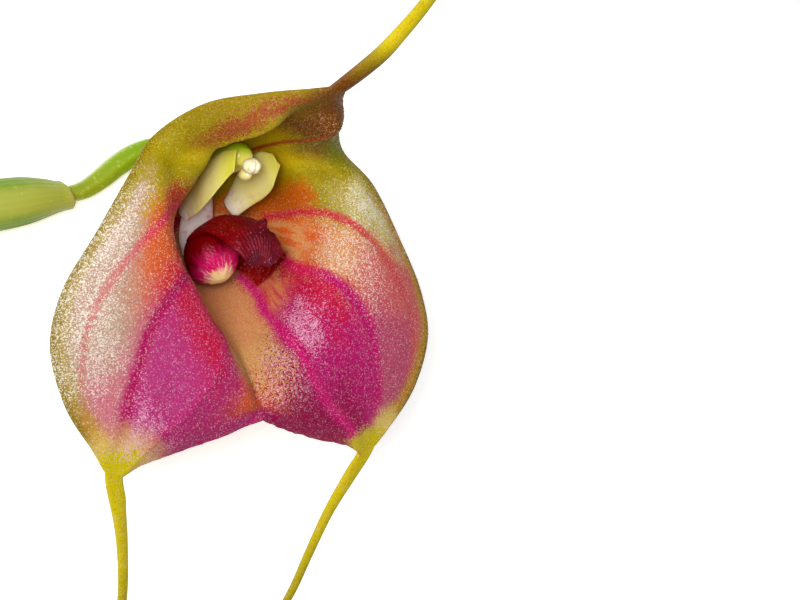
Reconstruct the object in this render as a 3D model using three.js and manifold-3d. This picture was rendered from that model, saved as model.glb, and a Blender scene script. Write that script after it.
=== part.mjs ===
// One picked flower of a Masdevallia orchid, lying on its back, with its ovary, bract and cut stalk.
//
// Two frames are used. Every piece is drawn in the flower's own frame: +x across the flower, +y towards
// the hood (dorsal), +z out of the mouth, with the origin in the middle of the mouth. The group at the end
// moves that frame so that the resting spot under the chin is the origin of the part and +Z is up. Sizes
// are in millimetres.
import * as THREE from "three";
import { mergeVertices } from "three/addons/utils/BufferGeometryUtils.js";
import Module from "manifold-3d";

const wasm = await Module();
wasm.setup();

// ---------------------------------------------------------------- driving dimensions

const REST_SPOT = { y: 7.5, z: -13.5 }; // the flat spot under the chin that the flower lies on
const BLADE = 0.8; // thickness of the fleshy sepals
const TUBE_WALL = 1.0; // thickness of the sepal tube
const CHIN_WALL = 1.7; // the chin is thickest, where the column's foot joins it
const GAP = 0.3; // clearance between pieces that touch on the flower
const TAIL_TIP = 0.32; // radius of a tail at its tip
const LEAN = 0.0015; // how much the right side blade rides higher than the left one, per square millimetre

const COLUMNS_PER_STATION = 3; // how finely the sepals are drawn round the mouth
const ROWS_PER_LEVEL = [1, 2, 2, 3, 3, 2, 2]; // and outwards from the floor of the tube to the margin

// The sepals are drawn by fifteen stations from the hood's midline round the right side to the cleft at
// the bottom, and mirrored. At each station a line runs from the floor of the tube over the throat and the
// rolled mouth rim (the crest) to the margin of the blade.
const MARGIN = [
  [0, 18.9, 18.4], // base of the hood's tail
  [4.6, 19.0, 10.9],
  [7.7, 18.2, 5.8],
  [10.8, 15.5, 1.8], // sinus between the hood and the side blade
  [13.7, 11.9, 3.2],
  [17.2, 6.2, 3.2],
  [20.2, 1.0, 2.7],
  [21.3, -4.0, 2.5],
  [19.8, -9.3, 2.3],
  [17.0, -13.4, 1.9],
  [14.4, -16.4, 0.9], // base of the side blade's tail
  [11.6, -15.4, 1.2],
  [7.6, -14.4, 1.5],
  [3.0, -13.0, 2.7],
  [0, -11.5, 4.2], // cleft between the side blades
];
const BLADE_MIDDLE = [
  [0, 18.4, 14.2],
  [4.3, 17.2, 11.5],
  [6.5, 16.5, 6.1],
  [9.7, 14.8, 2.6],
  [11.5, 11.7, 3.9],
  [13.6, 7.2, 4.4],
  [15.0, 2.7, 4.5],
  [14.9, -1.6, 4.5],
  [13.2, -5.8, 4.0],
  [11.5, -9.0, 3.7],
  [9.6, -11.3, 3.3],
  [7.5, -11.9, 3.2],
  [4.8, -11.9, 3.4],
  [2.0, -11.3, 3.9],
  [0, -10.7, 3.6],
];
const CREST = [
  [0, 17.8, 9.6],
  [3.3, 15.8, 11.0],
  [4.9, 14.9, 4.6],
  [8.2, 13.7, 2.4],
  [9.7, 11.4, 3.3],
  [10.3, 8.2, 3.8],
  [9.8, 4.8, 4.0],
  [8.4, 1.6, 3.9],
  [6.7, -1.4, 3.7],
  [5.2, -3.9, 3.8],
  [3.9, -5.9, 4.0],
  [2.9, -7.2, 4.1],
  [1.9, -8.3, 4.1],
  [0.9, -9.2, 3.5],
  [0, -9.6, 2.8],
];
const THROAT = [
  [0, 17.1, 2.0],
  [2.3, 16.2, 2.4],
  [3.9, 14.9, 1.2],
  [4.9, 13.2, 1.4],
  [6.2, 11.1, 1.0],
  [7.4, 8.0, -0.6],
  [7.2, 5.0, -0.9],
  [6.0, 2.5, -1.0],
  [4.7, 0.3, -1.2],
  [3.5, -1.3, -1.3],
  [2.5, -2.5, -1.3],
  [1.9, -3.2, -1.3],
  [1.2, -3.8, -1.3],
  [0.6, -4.2, -1.3],
  [0, -4.4, -1.3],
];
// Inside the tube the stations fan out round its axis by these angles, from the hood's midline.
const STATION_ANGLE = [0, 17, 38, 58, 75, 91, 106, 121, 134, 146, 156, 163, 169, 175, 180];
// Sections of the tube: half width, highest and lowest y, and z at those two places.
const TUBE_MIDDLE = { halfWidth: 6.4, top: 16.3, bottom: 0.5, zTop: -4.2, zBottom: -6.3 };
const TUBE_DEEP = { halfWidth: 4.6, top: 15.2, bottom: 3.4, zTop: -8.6, zBottom: -11.5 };
const TUBE_FLOOR = { halfWidth: 1.3, top: 10.6, bottom: 7.8, zTop: -11.7, zBottom: -12.3 };

// Tails: the middle line, then half width and half thickness at each point of it.
const HOOD_TAIL = {
  line: [
    [0, 18.8, 13.2], [0, 19.0, 16.4], [0, 19.5, 19.2], [0, 20.5, 22.0], [0, 22.4, 26.0],
    [0.1, 25.2, 30.8], [0.6, 28.6, 34.4], [1.3, 33.2, 36.6], [2.2, 38.2, 37.0], [3.1, 42.6, 35.8],
  ],
  width: [0.9, 1.35, 1.1, 0.85, 0.7, 0.56, 0.5, 0.44, 0.38, TAIL_TIP],
  depth: [0.25, 0.5, 0.8, 0.75, 0.65, 0.54, 0.48, 0.43, 0.38, TAIL_TIP],
};
const SIDE_TAIL = {
  line: [
    [13.7, -12.2, 1.9], [14.2, -14.3, 1.3], [14.2, -16.4, 0.5], [13.2, -19.2, -0.8], [11.9, -23.0, -2.7],
    [10.8, -27.6, -4.8], [10.1, -31.8, -7.0], [9.5, -35.4, -9.7], [8.9, -38.2, -12.0],
    [8.0, -41.0, -13.06], [6.9, -43.8, -13.15],
  ],
  width: [0.6, 1.4, 1.3, 0.78, 0.58, 0.5, 0.46, 0.42, 0.38, 0.36, TAIL_TIP],
  depth: [0.2, 0.45, 0.62, 0.58, 0.5, 0.46, 0.43, 0.4, 0.38, 0.36, TAIL_TIP],
};

// Petals: fleshy oblong blades beside the column, each with a keel along its lower edge.
const PETAL = {
  right: [
    [2.4, 9.6, -6.85], [2.7, 10.9, -5.3], [2.9, 12.0, -3.8], [2.95, 12.8, -2.1], [2.95, 13.3, -0.3],
    [3.0, 13.6, 1.4],
  ],
  left: [
    [-3.0, 8.7, -7.1], [-2.75, 9.6, -6.6], [-2.7, 10.8, -4.5], [-2.75, 12.0, -2.1], [-2.5, 13.15, 0.3],
    [-2.2, 13.7, 2.1],
  ],
  width: [1.1, 1.5, 1.9, 2.0, 1.75, 1.15],
  depth: [0.34, 0.42, 0.45, 0.42, 0.4, 0.34],
  flare: 0.28, // the lower edges stand further apart than the upper ones
  slope: -0.9, // z that the width gains along the upward edge, so that the blade's ends are cut square
  keel: 0.12, // how much the keel along the lower edge adds to the width
};

const COLUMN_LINE = [
  [0, 11.3, -9.0], [0, 12.9, -7.2], [0, 14.0, -4.8], [0, 14.4, -2.4], [0, 14.45, -0.7], [0, 14.3, 0.3],
];
const COLUMN_RADIUS = [1.15, 1.45, 1.5, 1.45, 1.35, 0.95];
const FOOT = {
  line: [[0, 11.4, -8.3], [0, 9.8, -9.1], [0, 8.0, -9.8], [0, 6.2, -10.4], [0, 4.75, -10.8]],
  width: [1.1, 1.6, 1.9, 1.7, 1.1],
  depth: [0.4, 0.45, 0.5, 0.5, 0.42],
};
const ANTHER_CAP = {
  at: [0, 13.25, 1.7],
  radius: [0.9, 0.85, 1.1],
  bead: [0, 12.5, 0.4],
  beadRadius: [0.6, 0.6, 0.95],
};

// Lip: a swollen base under a saddle-shaped blade, whose sides and tip turn down.
const LIP_KNOB = { at: [-0.2, 4.6, -6.2], radius: [2.8, 3.05, 2.75] };
const LIP_NECK = [[0, 4.4, -7.0], [0, 4.4, -8.6], [0, 4.5, -9.5]];
const LIP_BLADE = {
  line: [
    [0, 6.2, -8.4], [0, 7.8, -6.4], [0, 8.6, -3.8], [0.1, 8.5, -1.2], [0.35, 7.7, 1.2], [0.45, 5.9, 2.7],
    [0.5, 3.5, 2.9],
  ],
  halfWidth: [1.9, 2.9, 3.0, 3.1, 3.1, 2.5, 1.1],
  droop: [0.6, 1.5, 1.7, 1.8, 1.9, 1.3, 0.3],
  thickness: 0.7,
};

// Ovary, bract and stalk lie along one line that leaves the back of the tube and lies down to the left.
const OVARY_LINE = [
  [-0.4, 13.9, -10.9], [-1.6, 15.3, -11.6], [-3.6, 15.9, -12.0], [-5.9, 15.2, -12.1],
  [-8.0, 13.9, -12.1], [-9.9, 12.4, -12.0], [-11.8, 11.2, -11.8], [-13.7, 10.65, -11.45],
  [-16.6, 10.15, -11.17],
];
const OVARY_RADIUS = [1.0, 1.12, 1.2, 1.22, 1.2, 1.12, 1.0, 0.86, 0.8];
const OVARY_RIB = 0.09; // depth of the six furrows, as a share of the radius
const BRACT_OUTSIDE = {
  line: [
    [-31.2, 8.0, -11.75], [-28.8, 8.3, -11.35], [-25.4, 8.7, -10.96], [-21.8, 9.2, -10.78],
    [-18.6, 9.8, -10.86], [-16.6, 10.15, -11.05], [-15.0, 10.4, -11.3], [-14.0, 10.6, -11.4],
  ],
  radius: [1.75, 2.05, 2.4, 2.55, 2.38, 2.0, 1.62, 1.5],
};
const BRACT_MOUTH = {
  line: [[-13.4, 10.7, -11.5], [-15.2, 10.35, -11.27], [-17.4, 10.05, -11.1]],
  radius: [1.22, 1.2, 1.2],
};
const BRACT_SOCKET = { line: [[-29.4, 8.25, -11.6], [-31.6, 7.95, -11.96]], radius: [1.42, 1.42] };
const STALK = {
  line: [
    [-29.7, 8.2, -11.65], [-33.0, 7.8, -12.15], [-38.0, 7.4, -12.3], [-44.0, 7.4, -12.3],
    [-51.0, 8.0, -12.28],
  ],
  radius: [1.1, 1.14, 1.18, 1.2, 1.22],
};

const COLOURS = {
  sepal: 0xd8a070,
  petal: 0xd8c878,
  column: 0xa8b428,
  cap: 0xf0e6b8,
  lip: 0x7a0a18,
  ovary: 0x78a018,
  bract: 0xa8b450,
  stalk: 0x6f8f2a,
};

// ---------------------------------------------------------------- helpers

const vec = (p) => new THREE.Vector3(p[0], p[1], p[2]);
const asDrawn = (p) => p;
const mirrored = (p) => [-p[0], p[1], p[2]];
const lean = (p) => [p[0], p[1] + LEAN * p[0] * Math.max(0, -p[1]), p[2]];
const mix = (a, b, t) => a + (b - a) * t;

// Catmull-Rom value between b and c.
function spline(a, b, c, d, t) {
  const square = (2 * a - 5 * b + 4 * c - d) * t * t;
  const cube = (3 * b - a - 3 * c + d) * t * t * t;
  return 0.5 * (2 * b + (c - a) * t + square + cube);
}

function splinePoint(a, b, c, d, t) {
  return [0, 1, 2].map((i) => spline(a[i], b[i], c[i], d[i], t));
}

// A list of numbers read at a place between 0 and 1.
function along(values, t) {
  const s = Math.min(t, 1) * (values.length - 1);
  const i = Math.min(Math.floor(s), values.length - 2);
  const get = (k) => values[Math.max(0, Math.min(values.length - 1, k))];
  return spline(get(i - 1), get(i), get(i + 1), get(i + 2), s - i);
}

// Rings of points, all alike in number, skinned into one closed body with a fan at each end.
function skin(rings) {
  const sides = rings[0].length;
  const points = rings.flat();
  const faces = [];
  for (let r = 0; r + 1 < rings.length; r++) {
    for (let i = 0; i < sides; i++) {
      const [a, b] = [r * sides + i, r * sides + ((i + 1) % sides)];
      faces.push(a, b, b + sides, a, b + sides, a + sides);
    }
  }
  const fan = (ring, start, turned) => {
    const centre = ring.reduce((sum, p) => sum.add(p), new THREE.Vector3()).divideScalar(sides);
    const hub = points.push(centre) - 1;
    for (let i = 0; i < sides; i++) {
      const [a, b] = [start + i, start + ((i + 1) % sides)];
      faces.push(...(turned ? [hub, a, b] : [hub, b, a]));
    }
  };
  fan(rings[0], 0, false);
  fan(rings[rings.length - 1], (rings.length - 1) * sides, true);
  const geometry = new THREE.BufferGeometry().setFromPoints(points);
  geometry.setIndex(faces);
  return geometry;
}

// A tapered bar along a line. width lies along the side vector and depth across it; shape bends the section.
function bar(line, width, depth, { steps, sides, side = [1, 0, 0], shape = () => 1 }) {
  const curve = new THREE.CatmullRomCurve3(line.map(vec));
  const rings = [];
  for (let k = 0; k <= steps; k++) {
    const t = k / steps;
    const u = curve.getUtoTmapping(t);
    const centre = curve.getPoint(u);
    const tangent = curve.getTangent(u);
    const out = tangent.clone().cross(vec(side)).normalize();
    const across = out.clone().cross(tangent).normalize();
    const ring = [];
    for (let i = 0; i < sides; i++) {
      const angle = (2 * Math.PI * i) / sides;
      const [w, d] = [along(width, u), along(depth, u)];
      const grow = shape(angle, t);
      ring.push(
        centre.clone()
          .addScaledVector(across, w * grow * Math.cos(angle))
          .addScaledVector(out, d * grow * Math.sin(angle)),
      );
    }
    rings.push(ring);
  }
  return skin(rings);
}

function solid(geometry) {
  const bare = geometry.clone();
  bare.deleteAttribute("normal");
  bare.deleteAttribute("uv");
  const merged = mergeVertices(bare, 1e-4);
  const made = new wasm.Manifold(
    new wasm.Mesh({
      numProp: 3,
      vertProperties: new Float32Array(merged.attributes.position.array),
      triVerts: new Uint32Array(merged.index.array),
    }),
  );
  if (made.volume() > 0) return made;
  const faces = merged.index.array;
  for (let i = 0; i < faces.length; i += 3) [faces[i + 1], faces[i + 2]] = [faces[i + 2], faces[i + 1]];
  return solid(merged);
}

function piece(name, made, colour, roughness) {
  const { vertProperties, triVerts, numProp } = made.getMesh();
  const geometry = new THREE.BufferGeometry();
  const positions = new Float32Array((vertProperties.length / numProp) * 3);
  for (let i = 0; i < positions.length / 3; i++) {
    positions.set(vertProperties.subarray(i * numProp, i * numProp + 3), i * 3);
  }
  geometry.setAttribute("position", new THREE.BufferAttribute(positions, 3));
  geometry.setIndex(new THREE.BufferAttribute(triVerts, 1));
  geometry.computeVertexNormals();
  const material = new THREE.MeshStandardMaterial({ color: colour, roughness, metalness: 0 });
  const mesh = new THREE.Mesh(geometry, material);
  mesh.name = name;
  return mesh;
}

const boxAt = (size, centre) => solid(new THREE.BoxGeometry(...size).translate(...centre));

function ball(centre, radius, widthSegments, heightSegments) {
  const geometry = new THREE.SphereGeometry(1, widthSegments, heightSegments);
  return solid(geometry.scale(...radius).translate(...centre));
}

// ---------------------------------------------------------------- the sepals

function tubePoint(section, degrees) {
  const angle = THREE.MathUtils.degToRad(degrees);
  const down = (1 - Math.cos(angle)) / 2;
  return [
    section.halfWidth * Math.sin(angle),
    mix(section.top, section.bottom, down),
    mix(section.zTop, section.zBottom, down),
  ];
}

// The tube's floor is closed round this point, a little deeper than the ring of its last section.
const FLOOR_DIP = 0.1;
const FLOOR_POINT = [
  0,
  (TUBE_FLOOR.top + TUBE_FLOOR.bottom) / 2,
  (TUBE_FLOOR.zTop + TUBE_FLOOR.zBottom) / 2 - FLOOR_DIP,
];
const LEVELS = [
  STATION_ANGLE.map((a) => tubePoint(TUBE_FLOOR, a)),
  STATION_ANGLE.map((a) => tubePoint(TUBE_DEEP, a)),
  STATION_ANGLE.map((a) => tubePoint(TUBE_MIDDLE, a)),
  THROAT,
  CREST,
  BLADE_MIDDLE,
  MARGIN,
];
const FIRST_KINKED_LEVEL = 5; // from here outwards the cleft is a corner instead of a smooth valley

// One level of the sepals as a closed loop of points: right half downwards, then the left half upwards.
function loopOf(level, index) {
  const last = level.length - 1;
  const kinked = index >= FIRST_KINKED_LEVEL;
  const beyond = (end, next) => (kinked ? next.map((v, i) => 2 * end[i] - v) : mirrored(next));
  const at = (k) => {
    if (k < 0) return beyond(level[0], level[1]);
    if (k > last) return beyond(level[last], level[last - 1]);
    return level[k];
  };
  const half = [];
  for (let s = 0; s < last; s++) {
    for (let j = 0; j < COLUMNS_PER_STATION; j++) {
      half.push(splinePoint(at(s - 1), at(s), at(s + 1), at(s + 2), j / COLUMNS_PER_STATION));
    }
  }
  half.push(level[last]);
  return [...half, ...half.slice(1, -1).reverse().map(mirrored)].map(lean);
}

function sepalRows() {
  const loops = LEVELS.map(loopOf);
  const count = loops[0].length;
  const rows = [];
  for (let level = 0; level + 1 < loops.length; level++) {
    const steps = ROWS_PER_LEVEL[level + 1];
    for (let j = 0; j < steps; j++) {
      const row = [];
      for (let i = 0; i < count; i++) {
        const before = level ? loops[level - 1][i] : FLOOR_POINT;
        const after = loops[Math.min(level + 2, loops.length - 1)][i];
        row.push(splinePoint(before, loops[level][i], loops[level + 1][i], after, j / steps));
      }
      rows.push(row.map(vec));
    }
  }
  rows.push(loops[loops.length - 1].map(vec));
  return rows;
}

// Normals of the front face, which looks out of the mouth and into the tube.
function rowNormals(rows) {
  const count = rows[0].length;
  const floor = vec(FLOOR_POINT);
  return rows.map((row, r) =>
    row.map((_, i) => {
      const inner = r ? rows[r - 1][i] : floor;
      const outer = rows[Math.min(r + 1, rows.length - 1)][i];
      const left = row[(i + count - 1) % count];
      const right = row[(i + 1) % count];
      return outer.clone().sub(inner).cross(right.clone().sub(left)).normalize();
    }),
  );
}

// Wall thickness at a row: it thins from the chin to the throat, and from there to the rolled rim.
function wallAt(r) {
  const tubeRows = ROWS_PER_LEVEL[1] + ROWS_PER_LEVEL[2];
  const rimRows = ROWS_PER_LEVEL[3] + ROWS_PER_LEVEL[4] + ROWS_PER_LEVEL[5];
  if (r <= tubeRows) return mix(CHIN_WALL, TUBE_WALL, r / tubeRows);
  return mix(TUBE_WALL, BLADE, Math.min(1, (r - tubeRows) / rimRows));
}

// The joined sepals without their tails. extra thickens them outwards, as clearance for a piece behind them.
function sepalSheet(extra = 0) {
  const front = sepalRows();
  const normals = rowNormals(front);
  const outwards = normals[0][0].z < 0 ? 1 : -1;
  const back = front.map((row, r) =>
    row.map((point, i) => point.clone().addScaledVector(normals[r][i], outwards * (wallAt(r) + extra))),
  );
  const count = front[0].length;
  const points = [...front.flat(), ...back.flat()];
  const backStart = front.length * count;
  const hubFront = points.push(vec(FLOOR_POINT)) - 1;
  const hubBack = points.push(vec(FLOOR_POINT).add(new THREE.Vector3(0, 0, -CHIN_WALL - extra))) - 1;
  const faces = [];
  const quad = (a, b, c, d) => faces.push(a, b, c, a, c, d);
  for (let i = 0; i < count; i++) {
    const n = (i + 1) % count;
    faces.push(hubFront, i, n);
    faces.push(hubBack, backStart + n, backStart + i);
    for (let r = 0; r + 1 < front.length; r++) {
      const [a, b, c, d] = [r * count + i, (r + 1) * count + i, (r + 1) * count + n, r * count + n];
      quad(a, b, c, d);
      faces.push(backStart + a, backStart + c, backStart + b, backStart + a, backStart + d, backStart + c);
    }
    const rim = (front.length - 1) * count;
    quad(rim + i, backStart + rim + i, backStart + rim + n, rim + n);
  }
  const geometry = new THREE.BufferGeometry().setFromPoints(points);
  geometry.setIndex(faces);
  return solid(geometry);
}

function tail({ line, width, depth }, turn) {
  return solid(bar(line.map(turn).map(lean), width, depth, { steps: 26, sides: 8 }));
}

function sepalCup() {
  const depth = 10; // of a block that only has to be larger than what it cuts away
  const under = boxAt([4 * depth, 4 * depth, depth], [0, REST_SPOT.y, REST_SPOT.z - depth / 2]);
  return sepalSheet()
    .subtract(under)
    .add(tail(HOOD_TAIL, asDrawn))
    .add(tail(SIDE_TAIL, asDrawn))
    .add(tail(SIDE_TAIL, mirrored));
}

// ---------------------------------------------------------------- the small pieces in the mouth

function petal(line, turn) {
  const keel = (angle) => 1 + PETAL.keel * Math.max(0, -Math.cos(angle)) ** 3;
  const upwards = turn([-PETAL.flare, 1, PETAL.slope]);
  const options = { steps: 12, sides: 12, side: upwards, shape: keel };
  return solid(bar(line, PETAL.width, PETAL.depth, options));
}

function column() {
  const arch = bar(COLUMN_LINE, COLUMN_RADIUS, COLUMN_RADIUS, { steps: 12, sides: 14 });
  const foot = bar(FOOT.line, FOOT.width, FOOT.depth, { steps: 8, sides: 12 });
  return solid(arch).add(solid(foot));
}

function antherCap() {
  const { at, radius, bead, beadRadius } = ANTHER_CAP;
  return ball(at, radius, 14, 10).add(ball(bead, beadRadius, 12, 8));
}

function lipBlade() {
  const { line, halfWidth, droop, thickness } = LIP_BLADE;
  const curve = new THREE.CatmullRomCurve3(line.map(vec));
  const steps = 14;
  const cells = 12;
  const grid = [];
  for (let k = 0; k <= steps; k++) {
    const t = k / steps;
    const centre = curve.getPoint(t);
    const row = [];
    for (let i = 0; i <= cells; i++) {
      const w = (2 * i) / cells - 1;
      const point = centre.clone();
      point.x += w * along(halfWidth, t);
      point.y -= along(droop, t) * w * w;
      row.push(point);
    }
    grid.push(row);
  }
  const clamp = (v, top) => Math.max(0, Math.min(top, v));
  const under = grid.map((row, r) =>
    row.map((p, i) => {
      const lengthwise = grid[clamp(r + 1, steps)][i].clone().sub(grid[clamp(r - 1, steps)][i]);
      const across = row[clamp(i + 1, cells)].clone().sub(row[clamp(i - 1, cells)]);
      return p.clone().addScaledVector(lengthwise.cross(across).normalize(), -thickness);
    }),
  );
  // Each ring goes across the top and comes back underneath, so the blade is one closed skin.
  return solid(skin(grid.map((row, r) => [...row, ...under[r].slice().reverse()])));
}

function lip() {
  const neck = bar(LIP_NECK, [1.0, 0.8, 0.6], [0.8, 0.5, 0.4], { steps: 4, sides: 8 });
  return lipBlade().add(ball(LIP_KNOB.at, LIP_KNOB.radius, 20, 14)).add(solid(neck));
}

// ---------------------------------------------------------------- ovary, bract and stalk

function ovary() {
  const furrows = (angle) => 1 - OVARY_RIB * (0.5 - 0.5 * Math.cos(6 * angle));
  const options = { steps: 22, sides: 18, side: [0, 0, 1], shape: furrows };
  return solid(bar(OVARY_LINE, OVARY_RADIUS, OVARY_RADIUS, options)).subtract(sepalSheet(GAP));
}

function round({ line, radius }, steps, sides) {
  return solid(bar(line, radius, radius, { steps, sides, side: [0, 0, 1] }));
}

function bract() {
  const sheath = round(BRACT_OUTSIDE, 16, 14);
  return sheath.subtract(round(BRACT_MOUTH, 4, 12)).subtract(round(BRACT_SOCKET, 2, 14));
}

const flower = new THREE.Group();
flower.position.set(0, -REST_SPOT.y, -REST_SPOT.z);
flower.add(
  piece("sepal_cup", sepalCup(), COLOURS.sepal, 0.55),
  piece("petal_left", petal(PETAL.left, mirrored), COLOURS.petal, 0.45),
  piece("petal_right", petal(PETAL.right, asDrawn), COLOURS.petal, 0.45),
  piece("column", column(), COLOURS.column, 0.4),
  piece("anther_cap", antherCap(), COLOURS.cap, 0.3),
  piece("lip", lip(), COLOURS.lip, 0.35),
  piece("ovary", ovary(), COLOURS.ovary, 0.35),
  piece("bract", bract(), COLOURS.bract, 0.5),
  piece("peduncle", round(STALK, 12, 14), COLOURS.stalk, 0.45),
);

export default flower;
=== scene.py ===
# %% [markdown]
# # A Masdevallia flower
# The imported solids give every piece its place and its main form. This lesson replaces each solid by a finer
# piece that is drawn from the same named values, and gives it the colours, veins and glistening skin of the
# real flower. Lengths are written in millimetres in the flower's own frame: x runs across the flower, y
# towards the hood and z out of the mouth. One function moves them into the frame of the part, in metres.

import bmesh
import bpy
import numpy as np
from mathutils import Matrix, Vector, noise


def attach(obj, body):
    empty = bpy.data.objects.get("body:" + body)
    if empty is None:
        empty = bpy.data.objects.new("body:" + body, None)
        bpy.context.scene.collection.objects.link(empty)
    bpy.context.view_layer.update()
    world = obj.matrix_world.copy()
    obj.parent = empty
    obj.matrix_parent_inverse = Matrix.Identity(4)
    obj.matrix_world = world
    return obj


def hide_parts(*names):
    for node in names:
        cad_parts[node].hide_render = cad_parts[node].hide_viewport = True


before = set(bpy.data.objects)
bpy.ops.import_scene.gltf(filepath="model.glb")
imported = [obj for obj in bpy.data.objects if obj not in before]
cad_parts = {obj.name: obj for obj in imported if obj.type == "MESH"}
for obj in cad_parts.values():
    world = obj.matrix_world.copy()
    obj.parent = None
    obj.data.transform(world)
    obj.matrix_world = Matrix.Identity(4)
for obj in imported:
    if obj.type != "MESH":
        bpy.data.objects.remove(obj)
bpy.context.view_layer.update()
print("solids:", sorted(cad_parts))

MM = 0.001
REST_SPOT_Y, REST_SPOT_Z = 7.5, -13.5  # the flat spot under the chin, in the flower's frame
chance = np.random.default_rng(11)


def placed(points):
    """Points of the flower's frame, in millimetres, as points of the part, in metres."""
    return (np.asarray(points, float) - (0, REST_SPOT_Y, REST_SPOT_Z)) * MM


# %% [markdown]
# ## Camera, floor and light
# A picked flower lies on its back, so the camera looks down on it, square to the hood's axis and a little
# from the side of the stalk. The floor is pale and the lights are broad and soft: the skin of the flower is
# full of tiny domes, and each of them catches a light. The key and the front light stand near the camera,
# so that the flower's shadow falls mostly behind it. A narrow beam beside them reaches into the throat.

# %% Camera
CAMERA_DISTANCE = 150.0
CAMERA_YAW = np.radians(36)
AIM_ASIDE = 15.7  # the flower stands left of the middle of the picture by this much
LENS_MM, SENSOR_MM = 67.5, 36.0

camera_back = np.array([-np.sin(CAMERA_YAW), 0, np.cos(CAMERA_YAW)])
camera_right = np.array([np.cos(CAMERA_YAW), 0, np.sin(CAMERA_YAW)])
camera_up = np.array([0.0, 1.0, 0.0])
camera_spot = placed(AIM_ASIDE * camera_right + CAMERA_DISTANCE * camera_back)

camera = bpy.data.objects.new("camera", bpy.data.cameras.new("camera"))
camera.data.lens = LENS_MM
camera.data.sensor_width = SENSOR_MM
camera.data.clip_start = 0.005
turned = Matrix(np.column_stack([camera_right, camera_up, camera_back]).tolist()).to_4x4()
camera.matrix_world = Matrix.Translation(camera_spot.tolist()) @ turned
bpy.context.scene.collection.objects.link(camera)
bpy.context.scene.camera = camera
bpy.context.scene.view_settings.view_transform = "Standard"
print("camera at", np.round(camera_spot, 3), "m")

# %% Light
KEY = {"name": "key", "at": (-150, 56, 138), "size": 70, "watts": 0.12}
FRONT = {"name": "front", "at": (-98, 12, 132), "size": 60, "watts": 0.23}
FILL = {"name": "fill", "at": (170, -60, 120), "size": 220, "watts": 0.09}
SKY = 0.275  # how bright the white room is all round
BEAM = {"at": (-84, 2, 125), "aim": (-2, 10.5, -4), "cone": 8.5, "size": 24, "watts": 0.26}


def soft_light(name, at, size, watts):
    """A square area light, placed in millimetres, that looks at the middle of the mouth."""
    lamp = bpy.data.objects.new(name, bpy.data.lights.new(name, "AREA"))
    lamp.data.shape = "SQUARE"
    lamp.data.size = size * MM
    lamp.data.energy = watts
    lamp.location = placed(at)
    lamp.rotation_euler = Vector(-np.asarray(at, float)).to_track_quat("-Z", "Y").to_euler()
    bpy.context.scene.collection.objects.link(lamp)


def narrow_beam(at, aim, cone, size, watts):
    """A spot of light with a soft edge, cone degrees wide, that reaches down into the throat."""
    lamp = bpy.data.objects.new("beam", bpy.data.lights.new("beam", "SPOT"))
    lamp.data.spot_size, lamp.data.spot_blend = np.radians(cone), 1.0
    lamp.data.shadow_soft_size = size / 2 * MM
    lamp.data.energy = watts
    lamp.location = placed(at)
    lamp.rotation_euler = Vector(np.subtract(aim, at)).to_track_quat("-Z", "Y").to_euler()
    bpy.context.scene.collection.objects.link(lamp)


for lamp_values in (KEY, FRONT, FILL):
    soft_light(**lamp_values)
narrow_beam(**BEAM)
room = bpy.data.worlds.new("room")
room.use_nodes = True
room.node_tree.nodes["Background"].inputs["Color"].default_value = (1, 1, 1, 1)
room.node_tree.nodes["Background"].inputs["Strength"].default_value = SKY
bpy.context.scene.world = room
print("lights:", sorted(lamp.name for lamp in bpy.data.lights), "in a room at", SKY)

# %% [markdown]
# ## Writing finishes as sums
# A finish is a chain of shader nodes. Clicking them together hides the idea, so a small class wraps an
# output socket, and plain arithmetic on it adds the Math nodes. Any other node comes from one method.
# Numbers that are the same all over a surface stay on the shader's own sockets.

# %% Colours and wires
def lit(red, green, blue):
    """A colour as painters name it, 0 to 255, turned into the linear light that shaders use."""
    part = np.array([red, green, blue]) / 255
    linear = np.where(part <= 0.04045, part / 12.92, ((part + 0.055) / 1.055) ** 2.4)
    return (*linear.tolist(), 1.0)


class Wire:
    """An output socket. Arithmetic on wires adds Math nodes to their finish."""

    def __init__(self, finish, socket):
        self.finish = finish
        self.socket = socket

    def math(self, operation, *values):
        return self.finish.node("ShaderNodeMath", {"operation": operation}, dict(enumerate(values)))

    def __add__(self, other):
        return self.math("ADD", self, other)

    __radd__ = __add__

    def __sub__(self, other):
        return self.math("SUBTRACT", self, other)

    def __rsub__(self, other):
        return self.math("SUBTRACT", other, self)

    def __mul__(self, other):
        return self.math("MULTIPLY", self, other)

    __rmul__ = __mul__


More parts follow.
